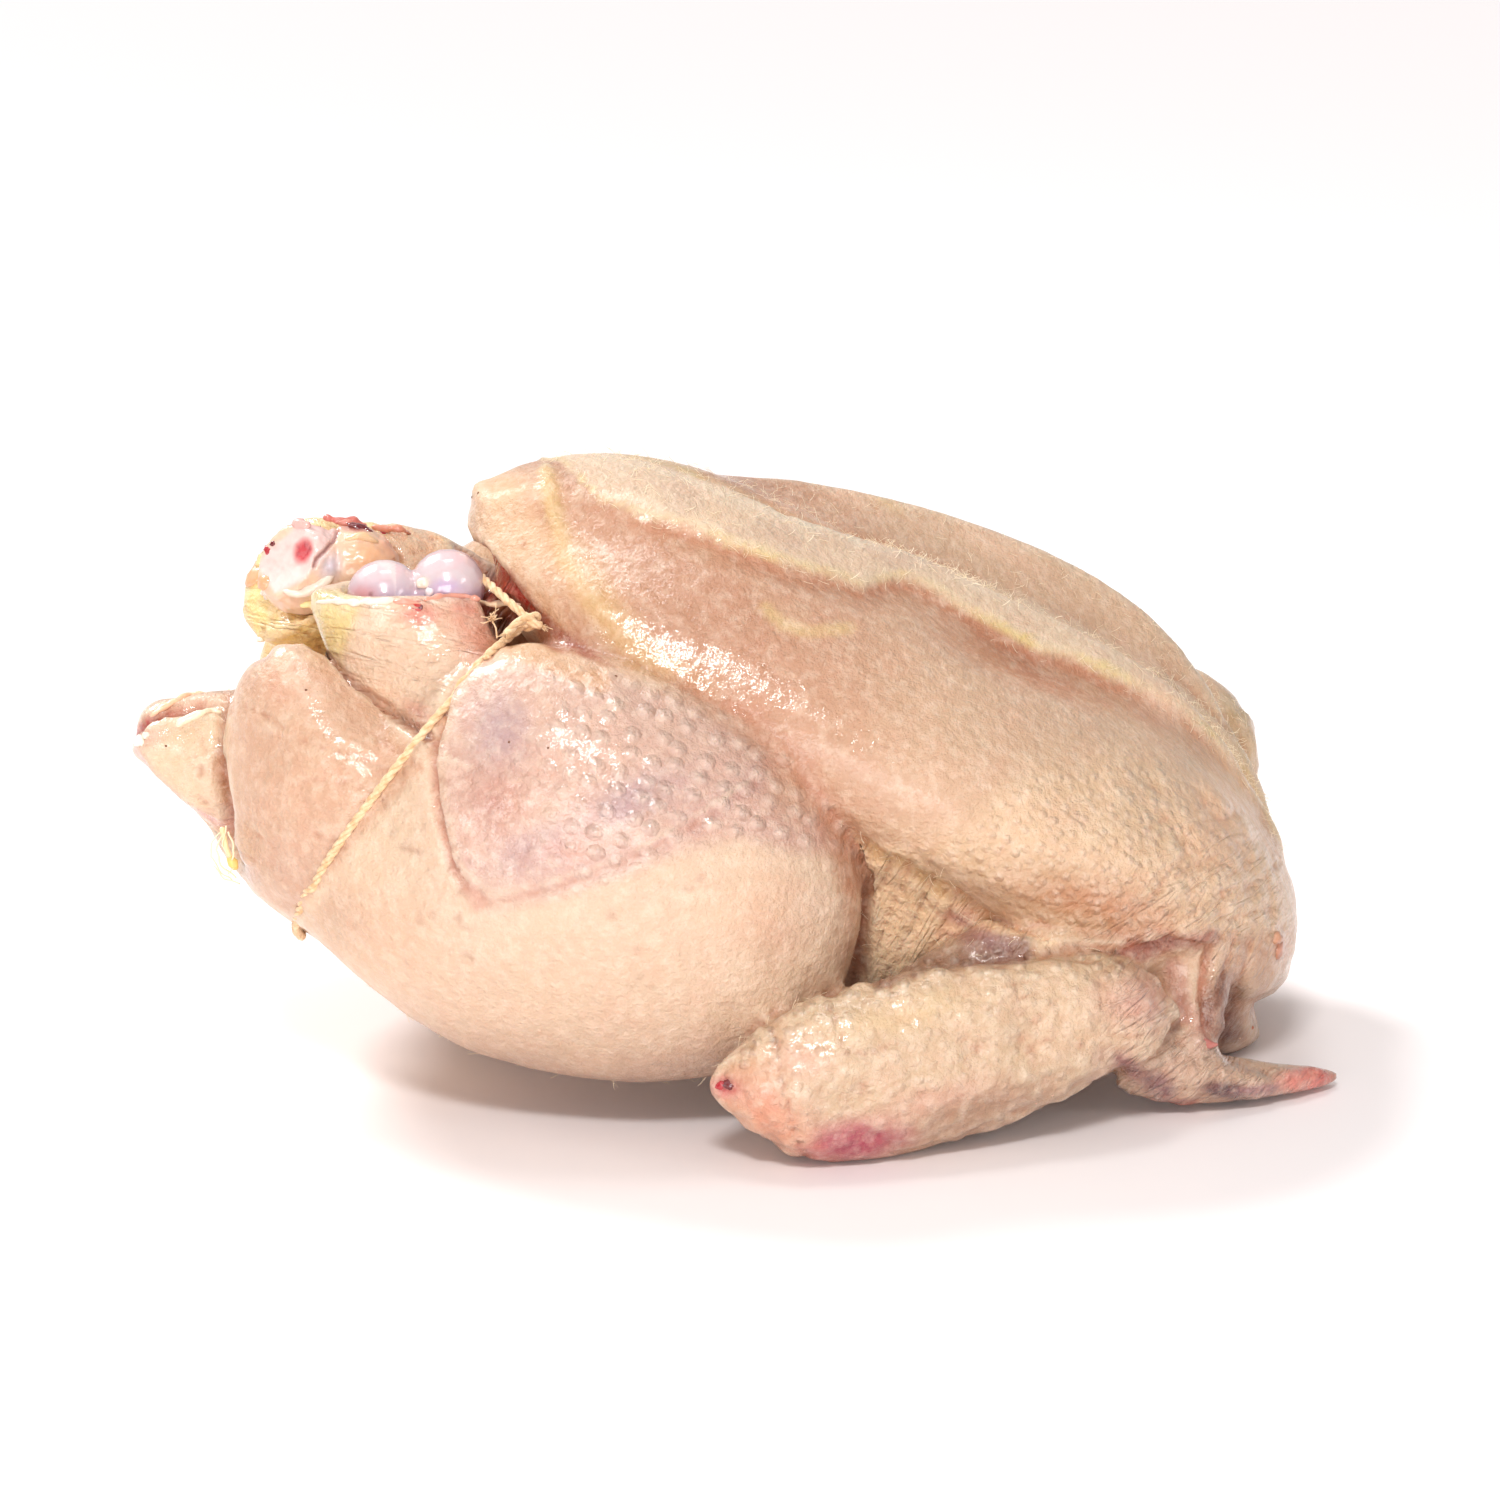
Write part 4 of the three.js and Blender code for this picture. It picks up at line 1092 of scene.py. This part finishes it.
CUT_FACE = [(258, 566), (272, 546), (290, 534), (300, 520), (314, 514), (330, 522), (338, 534), (330, 548),
            (320, 562),
            (302, 580), (275, 592)]
CREVICE = [(337, 530), (334, 540), (325, 551), (317, 558), (314, 567)]
cut_bone, points, out, where = bone("far_shin_bone", "cut_bone", BONE_VOXEL, 3)
dents = 0.9 * along(CREVICE, 3.4, 0.4, where) + 0.5 * spot(303, 551, 12, 15, 20, where)
points = points - out * dents[:, None]
points += out * (0.5 * lumps(points, 4.5, 301, 2) + 0.25 * lumps(points, 1.6, 303, 2))[:, None]
put(cut_bone.data, points)
marrow_grain = 0.25 + 0.75 * ease(lumps(points, 1.0, 305, 2), -0.2, 0.35)
on_face = area(CUT_FACE, 3, where)
cut = Tones(len(points), (228, 192, 164))
cut.lay(1, {
    "cut face": ((232, 198, 190), on_face),
    "its pale foot": ((240, 216, 208), on_face * ease(where[:, 1], 560, 585)),
    "bluish side": ((216, 208, 220), spot(331, 566, 18, 24, 30, where) * 0.9),
    "orange head": ((236, 178, 132), spot(368, 556, 40, 28, -10, where) * 0.85),
    "red end": ((230, 150, 120), spot(400, 545, 30, 24, 20, where) * 0.7),
    "glow of the marrow": ((212, 84, 88), blot(1.8, 303, 551, 11, 16, 20, where) ** 0.5),
    "marrow": ((168, 24, 40), blot(1.8, 303, 551, 11, 15, 20, where) * marrow_grain),
    # painted shade in the crevice
    "painted shade in the crevice": ((150, 92, 84), along(CREVICE, 2.6, 0.6, where) * 0.9),
    "red top": ((206, 96, 90), ease(where[:, 1], 534, 518) * ease(where[:, 0], 296, 330) * 0.8),
    "blood": ((150, 16, 24), spot(358, 527, 22, 9, 8, where)),
})
paint(cut_bone.data, "tone", cut.colour)
settle(cut_bone, "far_shin_bone", gristle_finish("far_bone", 0.3, 0.5, 0.1))

# String: three strands twisted along the solid loop's middle line, with a knot

KNOT = np.array([-44.5, -28.0, 104.0])
TWIST = 8.2
STRAND_RADIUS = 0.53
STRAND_OFFSET = 0.46
STRING_BINS = 90
KNOT_HALF_WIDTH = 5.5
KNOT_CLEAR = 17.0


def tube(path, radii, sides):
    """A closed tube with pointed ends through places; radii is one number or one for each place."""
    path = np.asarray(path, float)
    count = len(path)
    radii = np.broadcast_to(radii, count)
    ways = np.gradient(path, axis=0)
    ways /= np.linalg.norm(ways, axis=1)[:, None]
    side = np.cross(ways[0], [0.3, 0.2, 1.0])
    rings = []
    for k in range(count):
        side = side - ways[k] * (side @ ways[k])
        side /= np.linalg.norm(side)
        over = np.cross(ways[k], side)
        turn = np.arange(sides) * 2 * math.pi / sides
        rings.append(path[k] + radii[k] * (np.cos(turn)[:, None] * side + np.sin(turn)[:, None] * over))
    tips = [path[0] - ways[0] * radii[0] * 0.5, path[-1] + ways[-1] * radii[-1] * 0.5]
    points = np.concatenate([*rings, tips])
    faces = []
    for k in range(count - 1):
        for j in range(sides):
            a, b = k * sides + j, k * sides + (j + 1) % sides
            faces.append((a, b, b + sides, a + sides))
    for j in range(sides):
        faces.append((count * sides, (j + 1) % sides, j))
        faces.append((count * sides + 1, (count - 1) * sides + j, (count - 1) * sides + (j + 1) % sides))
    return points, faces


def laid(stops):
    """Places of stops that are given as a photo pixel and a depth."""
    return [at_depth(*stop) for stop in stops]


def gathered(name, parts, tone=None):
    """One object from several (points, faces) parts; tone is one colour for each part."""
    points, faces, colours, start = [], [], [], 0
    for k, (part, part_faces) in enumerate(parts):
        points.append(part)
        faces += [tuple(i + start for i in face) for face in part_faces]
        start += len(part)
        if tone is not None:
            colours.append(np.tile(tone[k], (len(part), 1)))
    mesh = bpy.data.meshes.new(name)
    mesh.from_pydata((np.concatenate(points) * MM).tolist(), [], faces)
    mesh.update()
    smooth(mesh)
    if tone is not None:
        paint(mesh, "tone", np.concatenate(colours))
    return new_object(name, mesh)


def run_of(path):
    """Length along a path at each of its places."""
    return np.concatenate([[0], np.cumsum(np.linalg.norm(np.diff(path, axis=0), axis=1))])


def resampled(path, step):
    """A path with its places a step apart."""
    path = np.asarray(path, float)
    run = run_of(path)
    at = np.linspace(0, run[-1], max(int(run[-1] / step), 4) + 1)
    return np.stack([np.interp(at, run, path[:, k]) for k in range(3)], axis=-1)


def twisted(path):
    """Three strands round a path; each is a tube."""
    ways = np.gradient(path, axis=0)
    ways /= np.linalg.norm(ways, axis=1)[:, None]
    side = np.cross(ways, [0.31, 0.17, 0.94])
    side /= np.linalg.norm(side, axis=1)[:, None]
    over = np.cross(ways, side)
    strands = []
    for k in range(3):
        turn = 2 * math.pi * (run_of(path) / TWIST + k / 3)
        offset = STRAND_OFFSET * (np.cos(turn)[:, None] * side + np.sin(turn)[:, None] * over)
        strands.append(tube(path + offset, STRAND_RADIUS, 7))
    return strands


# Ends of the loop by the knot: photo pixel and y in millimetres

TAUT_END = [(530, 620, -38.5), (519, 610.5, -36), (510, 603, -33.5), (498, 592, -29.5), (487, 582, -25),
            (476, 572, -17), (462, 562, -8)]
SLACK_END = [(483, 659, -50), (498, 646, -45.5), (506, 640, -43), (514, 633, -41), (523, 626, -39.5)]

loop_points = places(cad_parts["string"].data)
loop_points = loop_points[np.linalg.norm(loop_points - KNOT, axis=1) > KNOT_HALF_WIDTH]
middle = loop_points.mean(axis=0)
spread = np.linalg.svd(loop_points - middle, full_matrices=False)[2]
angle = np.arctan2((loop_points - middle) @ spread[1], (loop_points - middle) @ spread[0])
bins = ((angle + math.pi) / (2 * math.pi) * STRING_BINS).astype(int) % STRING_BINS
route = [loop_points[bins == k].mean(axis=0) for k in range(STRING_BINS) if (bins == k).any()]
gaps = [np.linalg.norm(route[k] - route[k - 1]) for k in range(len(route))]
opening = int(np.argmax(gaps))
route = np.array(route[opening:] + route[:opening])
route = route[np.linalg.norm(route - KNOT, axis=1) > KNOT_CLEAR]
route_x, route_y = photo_pixels(route)
route[:, 2] -= 6.5 * ease(route_x, 372, 396) * ease(route_y, 590, 572)
if photo_pixels(route[:1])[1][0] > photo_pixels(route[-1:])[1][0]:
    route = route[::-1]
route = np.concatenate([laid(TAUT_END), route, laid(SLACK_END)])
line = resampled(route, 2.2)
line[1:-1] = (line[:-2] + line[1:-1] * 2 + line[2:]) / 4
line = resampled(line, 0.6)
string_parts = twisted(line)

# The knot, its two tails and the fuzz at their ends

knot_middle = at_depth(530, 621.5, -39.5)
turn = np.linspace(0, 2 * math.pi, 60)
across_knot, over_knot = right * 0.8 + up * 0.6, up * 0.8 - right * 0.6
swell = 2 + np.cos(3 * turn)
bow = np.stack([0.7 * swell * np.cos(2 * turn), 0.42 * swell * np.sin(2 * turn), 0.8 * np.sin(3 * turn)], -1)
string_parts.append(tube(knot_middle + bow @ np.stack([across_knot, over_knot, back]), 0.66, 8))
rng = np.random.default_rng(11)


def fray(place, way, strands, reach, spread_out):
    """Fine loose fibres from the end of a tail."""
    for _ in range(strands):
        lean = way + rng.normal(0, spread_out, 3)
        length = reach * rng.uniform(0.5, 1.1)
        curl = rng.normal(0, 0.35, 3)
        hair = [place, place + lean * 0.5 * length + curl, place + lean * length]
        string_parts.append(tube(hair, 0.11, 4))


TAILS = [
    [(533, 617, -40.5), (522, 619, -41.5), (514, 626, -43), (506, 635, -46)],
    [(528, 621, -40.5), (536, 624, -41.5), (541, 626, -41.5)],
]
SHED = [(492, 620, -38.0), (496, 628, -39.0), (497, 638, -41.5)]
for end in TAILS:
    path = resampled(laid(end), 0.5)
    string_parts += twisted(path)
    way = path[-1] - path[-3]
    fray(path[-1], way / np.linalg.norm(way), 14, 1.6, 0.5)
shed = laid(SHED)
fray(shed[0], 0.4 * up + 0.2 * back, 26, 1.9, 0.75)
string_parts.append(tube(shed, 0.2, 5))
string = gathered("twine", string_parts)


settle(string, "string", string_finish())

# Small things laid where the photograph shows them

surface_points, surface_faces = [], []
for piece in (skin, pearls, cut_bone):
    start = len(surface_points)
    surface_faces += [tuple(i + start for i in p.vertices) for p in piece.data.polygons]
    surface_points += (co if piece is skin else places(piece.data)).tolist()
lookup = BVHTree.FromPolygons(surface_points, surface_faces)


def seen(x, y):
    """Place and normal of the surface that shows at a photo pixel."""
    place, normal, _, _ = lookup.ray_cast(Vector(eye), Vector(sight(x, y)))
    if place is None:
        beyond = eye + sight(x, y) * DISTANCE
        place, normal, _, _ = lookup.find_nearest(Vector(beyond))
    return np.array(place), np.array(normal)


def seen_path(line, step, out_by=0.0):
    """A path laid over the surface along photo pixels."""
    line = np.asarray(line, float)
    run = run_of(line)
    at = np.linspace(0, run[-1], max(int(run[-1] / step), 3))
    pixels = np.stack([np.interp(at, run, line[:, 0]), np.interp(at, run, line[:, 1])], axis=-1)
    found = []
    for x, y in pixels:
        place, normal = seen(x, y)
        if found and np.linalg.norm(place - found[-1]) > 6 * step / PIXELS_PER_MM:
            place = found[-1] + right * step / PIXELS_PER_MM
        found.append(place + normal * out_by)
    return np.array(found)


def roll(line, radius, seed, step=3.0, out_by=0.0, sides=9):
    """A lumpy roll of fat or skin along photo pixels."""
    path = seen_path(line, step, out_by)
    path[1:-1] = (path[:-2] + path[1:-1] + path[2:]) / 3
    share = np.linspace(0, 1, len(path))
    radii = radius * (0.35 + 0.65 * np.sin(math.pi * share) ** 0.4) * (1 + 0.45 * noise(path, 1.6, seed))
    points, faces = tube(path, radii, sides)
    points += 0.3 * radius * np.stack([noise(points, 1.3, seed + k) for k in range(3)], axis=-1)
    return points, faces


def lump(x, y, wide, high, thick, seed, sink=0.2, turn=0.0, rings=8):
    """A flattened lump on the surface at a photo pixel; sizes are half sizes in millimetres."""
    place, normal = seen(x, y)
    first = right * math.cos(math.radians(turn)) - up * math.sin(math.radians(turn))
    first = first - normal * (first @ normal)
    first /= np.linalg.norm(first)
    second = np.cross(normal, first)
    points, faces = [], []
    around = 2 * rings
    for r in range(1, rings):
        tilt = math.pi * r / rings
        for k in range(around):
            spin = 2 * math.pi * k / around
            points.append((math.sin(tilt) * math.cos(spin), math.sin(tilt) * math.sin(spin), math.cos(tilt)))
    points += [(0, 0, 1), (0, 0, -1)]
    for r in range(rings - 2):
        for k in range(around):
            a, b = r * around + k, r * around + (k + 1) % around
            faces.append((a, a + around, b + around, b))
    top, bottom = len(points) - 2, len(points) - 1
    for k in range(around):
        faces.append((top, k, (k + 1) % around))
        faces.append((bottom, (rings - 2) * around + (k + 1) % around, (rings - 2) * around + k))
    ball = np.array(points)
    ball *= (1 + 0.35 * noise(ball + seed, 0.6, seed))[:, None]
    middle_of_lump = place - normal * sink
    return middle_of_lump + ball @ np.stack([wide * first, high * second, thick * normal]), faces


def tag(x, y, length, radius, way, bend=(0, 0)):
    """A small tag of skin that hangs from the surface; way is its direction in the photo's plane."""
    place, normal = seen(x, y)
    heading = right * way[0] - up * way[1] + normal * 0.5
    heading /= np.linalg.norm(heading)
    share = np.linspace(0, 1, 7)
    swerve = right * bend[0] - up * bend[1]
    path = place - normal * radius + share[:, None] * heading * length + (share**2)[:, None] * swerve
    return tube(path, radius * (1.15 - share) + 0.06, 8)


def strewn(name, coloured, finish):
    """One piece from (shape, screen colour) pairs."""
    colours = [linear(*colour) for _, colour in coloured]
    settle(gathered(name, [shape for shape, _ in coloured], colours), None, finish)


FAT, YELLOW_FAT, RIM_FAT = (240, 218, 200), (236, 200, 118), (250, 226, 160)
PINK_FLESH, ORANGE_FLESH, SKIN_EDGE = (222, 150, 128), (236, 168, 124), (238, 200, 164)
CLOT, BRIGHT_BLOOD = (104, 10, 18), (176, 22, 34)

at_hocks = [
    (roll([(316, 602), (335, 601), (350, 603), (372, 602), (395, 600)], 0.75, 1), FAT),
    (roll([(392, 601), (408, 602), (420, 603)], 0.7, 2), PINK_FLESH),
    (roll([(424, 600), (440, 597), (462, 596), (480, 600)], 0.8, 3), PINK_FLESH),
    (roll([(478, 600), (490, 606), (500, 622), (500, 636)], 0.7, 4), SKIN_EDGE),
    (roll([(262, 592), (276, 600), (292, 606), (306, 604)], 1.5, 5, out_by=0.3), FAT),
    (roll([(284, 592), (300, 594), (318, 586), (332, 576)], 1.1, 6, out_by=0.3), FAT),
    (roll([(300, 605), (318, 602), (332, 594), (346, 585)], 1.3, 7, out_by=0.3), RIM_FAT),
    (roll([(240, 574), (250, 584), (262, 594)], 0.9, 8), YELLOW_FAT),
    (lump(253, 574, 2.8, 3.0, 1.0, 9, sink=0.5), ORANGE_FLESH),
    (lump(262, 583, 2.0, 1.6, 0.9, 10, sink=0.4), ORANGE_FLESH),
    (lump(300, 524, 2.6, 1.4, 1.3, 11, turn=40), (232, 176, 166)),
    (roll([(324, 516), (340, 512), (356, 509), (368, 512)], 1.1, 12, out_by=0.2), (206, 110, 96)),
    (roll([(336, 520), (342, 530), (338, 540)], 0.8, 13), (214, 130, 112)),
    (roll([(372, 522), (390, 527), (410, 534)], 0.8, 14), (214, 140, 112)),
    (roll([(345, 540), (360, 536), (378, 542)], 0.9, 15), (232, 190, 146)),
    (lump(423, 584, 1.6, 1.3, 1.2, 16, sink=0.0), FAT),
    (lump(429, 592, 1.0, 1.2, 1.0, 17, sink=0.0), (238, 222, 226)),
]
on_tail_and_wing = [
    (lump(139, 741, 1.9, 1.2, 1.2, 51, sink=0.2, turn=20), (250, 240, 222)),
    (lump(146, 736, 1.0, 0.8, 0.8, 52, sink=0.0), (246, 228, 206)),
    (roll([(176, 726), (190, 718), (206, 712), (222, 712)], 0.9, 53), (250, 226, 196)),
    (roll([(150, 716), (166, 706), (186, 696), (206, 690), (224, 688)], 0.8, 54), (246, 196, 160)),
    (roll([(160, 780), (176, 796), (196, 812), (214, 824)], 0.9, 55, out_by=-0.2), (244, 206, 170)),
    (tag(150, 776, 2.4, 1.3, (-1.0, -0.1)), (250, 216, 184)),
    (roll([(238, 668), (246, 662), (256, 656)], 0.55, 56, out_by=0.5), (248, 224, 180)),
    (lump(236, 664, 1.4, 0.9, 0.8, 57, sink=-0.3, turn=-30), (250, 232, 190)),
    (lump(226, 670, 1.2, 1.0, 0.8, 58, sink=-0.6, turn=-30), (236, 212, 140)),
    (lump(250, 660, 1.1, 0.7, 0.6, 59, sink=0.0, turn=-30), (255, 240, 220)),
    (tag(1208, 1044, 2.8, 1.5, (0.8, 0.35), (0.6, -0.6)), (178, 104, 92)),
    (lump(1279, 950, 2.2, 1.6, 1.0, 60, sink=0.3, turn=80), (188, 128, 98)),
    (lump(1277, 938, 1.4, 2.0, 1.4, 61, sink=0.2, turn=70), (190, 136, 104)),
    (tag(1252, 1030, 1.8, 1.5, (0.7, -0.3)), (190, 110, 80)),
    (tag(1240, 1038, 1.6, 1.4, (0.2, -0.9)), (204, 156, 116)),
    (tag(832, 1165, 2.6, 0.8, (0.1, -1.0), (-0.5, 0.3)), (226, 140, 140)),
    (tag(856, 1158, 2.0, 0.55, (0.3, -1.0)), (232, 160, 150)),
    (tag(812, 1160, 1.4, 0.5, (-0.4, -1.0)), (236, 170, 140)),
    (tag(1036, 1104, 1.6, 0.5, (0.4, -1.0)), (226, 180, 150)),
    (tag(1052, 1096, 1.4, 0.4, (0.7, -0.8)), (226, 184, 154)),
    (tag(982, 1129, 1.2, 0.4, (0.5, -0.9)), (222, 180, 150)),
]
strewn("trimmings", at_hocks + on_tail_and_wing, gristle_finish("wet_fat", 0.34, 0.4, 0.12))

clots = [
    (lump(358, 526, 2.6, 1.1, 0.7, 21, turn=8), CLOT),
    (lump(347, 518, 1.5, 1.0, 0.6, 22), BRIGHT_BLOOD),
    (lump(368, 530, 1.1, 0.7, 0.5, 23), CLOT),
    (lump(383, 532, 0.8, 0.6, 0.4, 24), BRIGHT_BLOOD),
    (lump(254, 561, 0.9, 0.8, 0.6, 25), CLOT),
    (lump(267, 550, 1.3, 0.8, 0.6, 26, turn=40), BRIGHT_BLOOD),
    (lump(272, 544, 0.9, 0.7, 0.5, 27), CLOT),
    (lump(421, 607, 0.75, 0.6, 0.3, 28), CLOT),
    (lump(418, 605, 1.4, 1.1, 0.25, 29), (196, 60, 56)),
    (lump(727, 1084, 1.5, 1.0, 0.6, 30, turn=10), CLOT),
    (lump(720, 1086, 1.3, 1.2, 0.5, 31), BRIGHT_BLOOD),
]
strewn("clots", clots, gristle_finish("blood", 0.14, 0.9, 0.05))

# Loose threads under the tail and small dark specks

THREADS = [
    [(224, 828), (212, 842), (211, 856), (220, 872), (232, 880)],
    [(222, 832), (216, 850), (222, 866), (236, 878)],
    [(226, 826), (222, 846), (230, 858), (236, 866), (228, 874)],
    [(228, 832), (234, 846), (232, 860)],
    [(214, 866), (226, 880), (240, 884)],
]
THREAD_OF_FAT = [(222, 828), (226, 848), (233, 864)]
BLOB_OF_FAT = [(229, 857), (233, 863), (236, 869)]
SPECKS = [(472, 497), (478, 493), (384, 712), (509, 742), (548, 748), (306, 690), (166, 746),
          (616, 676), (1012, 520)]
UNDER_TAIL = (238, 820)
back_edge = seen(*UNDER_TAIL)[0][1] - 1.0
threads = []
for k, thread in enumerate(THREADS):
    path = resampled([at_depth(x, y, back_edge - 0.3 * k) for x, y in thread], 0.7)
    path[1:-1] += 0.25 * np.stack([noise(path[1:-1], 1.5, 70 + k + j) for j in range(3)], axis=-1)
    threads.append((tube(path, 0.17 + 0.05 * (k % 2), 5), (240, 220, 180)))
fat_path = [at_depth(x, y, back_edge) for x, y in THREAD_OF_FAT]
blob_path = [at_depth(x, y, back_edge) for x, y in BLOB_OF_FAT]
threads.append((tube(resampled(fat_path, 0.6), 0.62, 7), (244, 212, 160)))
threads.append((tube(blob_path, [0.7, 1.25, 0.6], 9), (236, 196, 112)))
strewn("threads", threads, gristle_finish("fat_threads", 0.4, 0.3, 0.03))

dots = [lump(x, y, 0.3, 0.26, 0.16, 80 + k, sink=0.0, rings=5) for k, (x, y) in enumerate(SPECKS)]
settle(gathered("specks", dots), None, plain_material("speck", linear(116, 70, 40), 0.5))

# Fine hairs: a node tree scatters them over the skin by its "fuzz" attribute


def hair_tree():
    """Node tree that scatters thin bent hairs over a mesh."""
    tree = bpy.data.node_groups.new("fine_hairs", "GeometryNodeTree")
    plugs = {}
    for name, kind in (("Geometry", "Geometry"), ("Hairs per area", "Float"), ("Length", "Float"),
                       ("Thickness", "Float"), ("Seed", "Int"), ("Finish", "Material")):
        socket = tree.interface.new_socket(name, in_out="INPUT", socket_type="NodeSocket" + kind)
        plugs[name] = socket.identifier
    tree.interface.new_socket("Geometry", in_out="OUTPUT", socket_type="NodeSocketGeometry")

    n = Nodes(tree)
    given = n.node("NodeGroupInput").outputs
    fuzz = n.node("GeometryNodeInputNamedAttribute", {"Name": "fuzz"}, data_type="FLOAT")
    density = n.product(fuzz.outputs["Attribute"], given["Hairs per area"])
    scatter = n.node("GeometryNodeDistributePointsOnFaces", {
        "Mesh": given["Geometry"], "Density": density, "Seed": given["Seed"],
    }).outputs

    middle = n.node("ShaderNodeCombineXYZ", {"Z": n.product(given["Length"], 0.6)}).outputs[0]
    tip_aside = n.product(given["Length"], 0.3)
    tip = n.node("ShaderNodeCombineXYZ", {"X": tip_aside, "Z": given["Length"]}).outputs[0]
    strand = n.node("GeometryNodeCurveQuadraticBezier", {
        "Resolution": 4, "Start": (0, 0, -0.0004), "Middle": middle, "End": tip,
    }).outputs["Curve"]
    ring = n.node("GeometryNodeCurvePrimitiveCircle", {"Resolution": 3, "Radius": given["Thickness"]})
    hair = n.node("GeometryNodeCurveToMesh", {
        "Curve": strand, "Profile Curve": ring.outputs["Curve"], "Fill Caps": True,
    }).outputs["Mesh"]

    lean = n.node("FunctionNodeRandomValue", {
        "Min": (0.7, -0.3, -math.pi), "Max": (1.5, 0.3, math.pi), "Seed": given["Seed"],
    }, data_type="FLOAT_VECTOR").outputs[0]
    spun = n.node("FunctionNodeEulerToRotation", {0: lean}).outputs[0]
    turned = n.node("FunctionNodeRotateRotation", {0: scatter["Rotation"], 1: spun}, rotation_space="LOCAL")
    size = n.node("FunctionNodeRandomValue", {
        2: 0.45, 3: 1.3, "Seed": given["Seed"],
    }, data_type="FLOAT").outputs[1]
    hairs = n.node("GeometryNodeInstanceOnPoints", {
        "Points": scatter["Points"], "Instance": hair, "Rotation": turned.outputs[0], "Scale": size,
    }).outputs["Instances"]
    real = n.node("GeometryNodeRealizeInstances", {"Geometry": hairs}).outputs["Geometry"]
    finished = n.node("GeometryNodeSetMaterial", {"Geometry": real, "Material": given["Finish"]})
    n.node("NodeGroupOutput", {0: finished.outputs["Geometry"]})
    return tree, plugs


fuzz = on_band * (0.2 + 0.8 * ease(above_band, -26, -4)) + 0.5 * ease(np.abs(below_band), 9, 2) * on_top
fuzz += 0.3 * ease(above_band, -2, 6) * ease(above_band, 40, 20) * on_top
fuzz += 0.25 * ease(from_ridge, 0, 8) * ease(facing, 0.3, 0.05) * high_up
fuzz += 0.35 * web + 0.25 * ease(fold_line, 14, 3) * on_trunk + 0.1 * ease(facing, 0.25, 0.05) * on_leg
fuzz *= 0.4 + 0.6 * ease(noise(co, 16, 231), -0.4, 0.4)
number(skin.data, "fuzz", np.clip(fuzz, 0, 1))
hair_bed = new_object("hair_bed", skin.data.copy())
scatter_tree, plugs = hair_tree()
grown = hair_bed.modifiers.new("hairs", "NODES")
grown.node_group = scatter_tree
grown[plugs["Hairs per area"]] = 5.5e5
grown[plugs["Length"]] = 0.0021
grown[plugs["Thickness"]] = 0.00004
grown[plugs["Seed"]] = 5
grown[plugs["Finish"]] = plain_material("hair", linear(250, 232, 200), 0.4)
hairs = new_object("hairs", evaluated(hair_bed, "hairs"))
bpy.data.objects.remove(hair_bed)
settle(hairs, None, None)

# Floor and light

FLOOR_HALF = 6.0
corners = [(-1, -1), (1, -1), (1, 1), (-1, 1)]
floor_mesh = bpy.data.meshes.new("floor")
floor_mesh.from_pydata([(x * FLOOR_HALF, y * FLOOR_HALF, 0) for x, y in corners], [], [(0, 1, 2, 3)])
floor = new_object("floor", floor_mesh)
# the floor's slight pink tint is painted light: it stands in for light bounced off the skin into the floor's
# shadows
floor.data.materials.append(plain_material("floor", (0.95, 0.89, 0.885), 0.6))

world = bpy.data.worlds.new("studio")
bpy.context.scene.world = world
world.use_nodes = True
world.node_tree.nodes["Background"].inputs["Color"].default_value = (1, 1, 1, 1)
world.node_tree.nodes["Background"].inputs["Strength"].default_value = 0.42
bpy.context.scene.view_settings.view_transform = "Standard"


def aimed(name, light, place, aim):
    lamp = new_object(name, light)
    lamp.location = place
    lamp.rotation_mode = "QUATERNION"
    lamp.rotation_quaternion = (Vector(aim) - Vector(place)).to_track_quat("-Z", "Y")


def softbox(name, place, aim, width, height, power):
    light = bpy.data.lights.new(name, "AREA")
    light.shape = "RECTANGLE"
    light.size = width
    light.size_y = height
    light.energy = power
    aimed(name, light, place, aim)


broad_light = bpy.data.lights.new("broad", "SUN")
broad_light.angle = math.radians(20)
broad_light.energy = 3.1
aimed("broad", broad_light, (-0.62, 0.9, 0.98), (0, 0, 0))
softbox("window", (-0.14, -0.84, 0.88), (-0.01, 0, 0.08), 0.26, 0.14, 6.8)
softbox("window_high", (-0.02, 0.1, 1.1), (0.0, 0, 0.06), 0.36, 0.22, 2.0)
softbox("window_right", (0.8, -0.7, 0.6), (0.03, 0, 0.05), 0.2, 0.2, 0.7)
softbox("card", (-0.35, -1.25, 0.24), (0.0, 0, 0.05), 0.9, 0.36, 6.5)
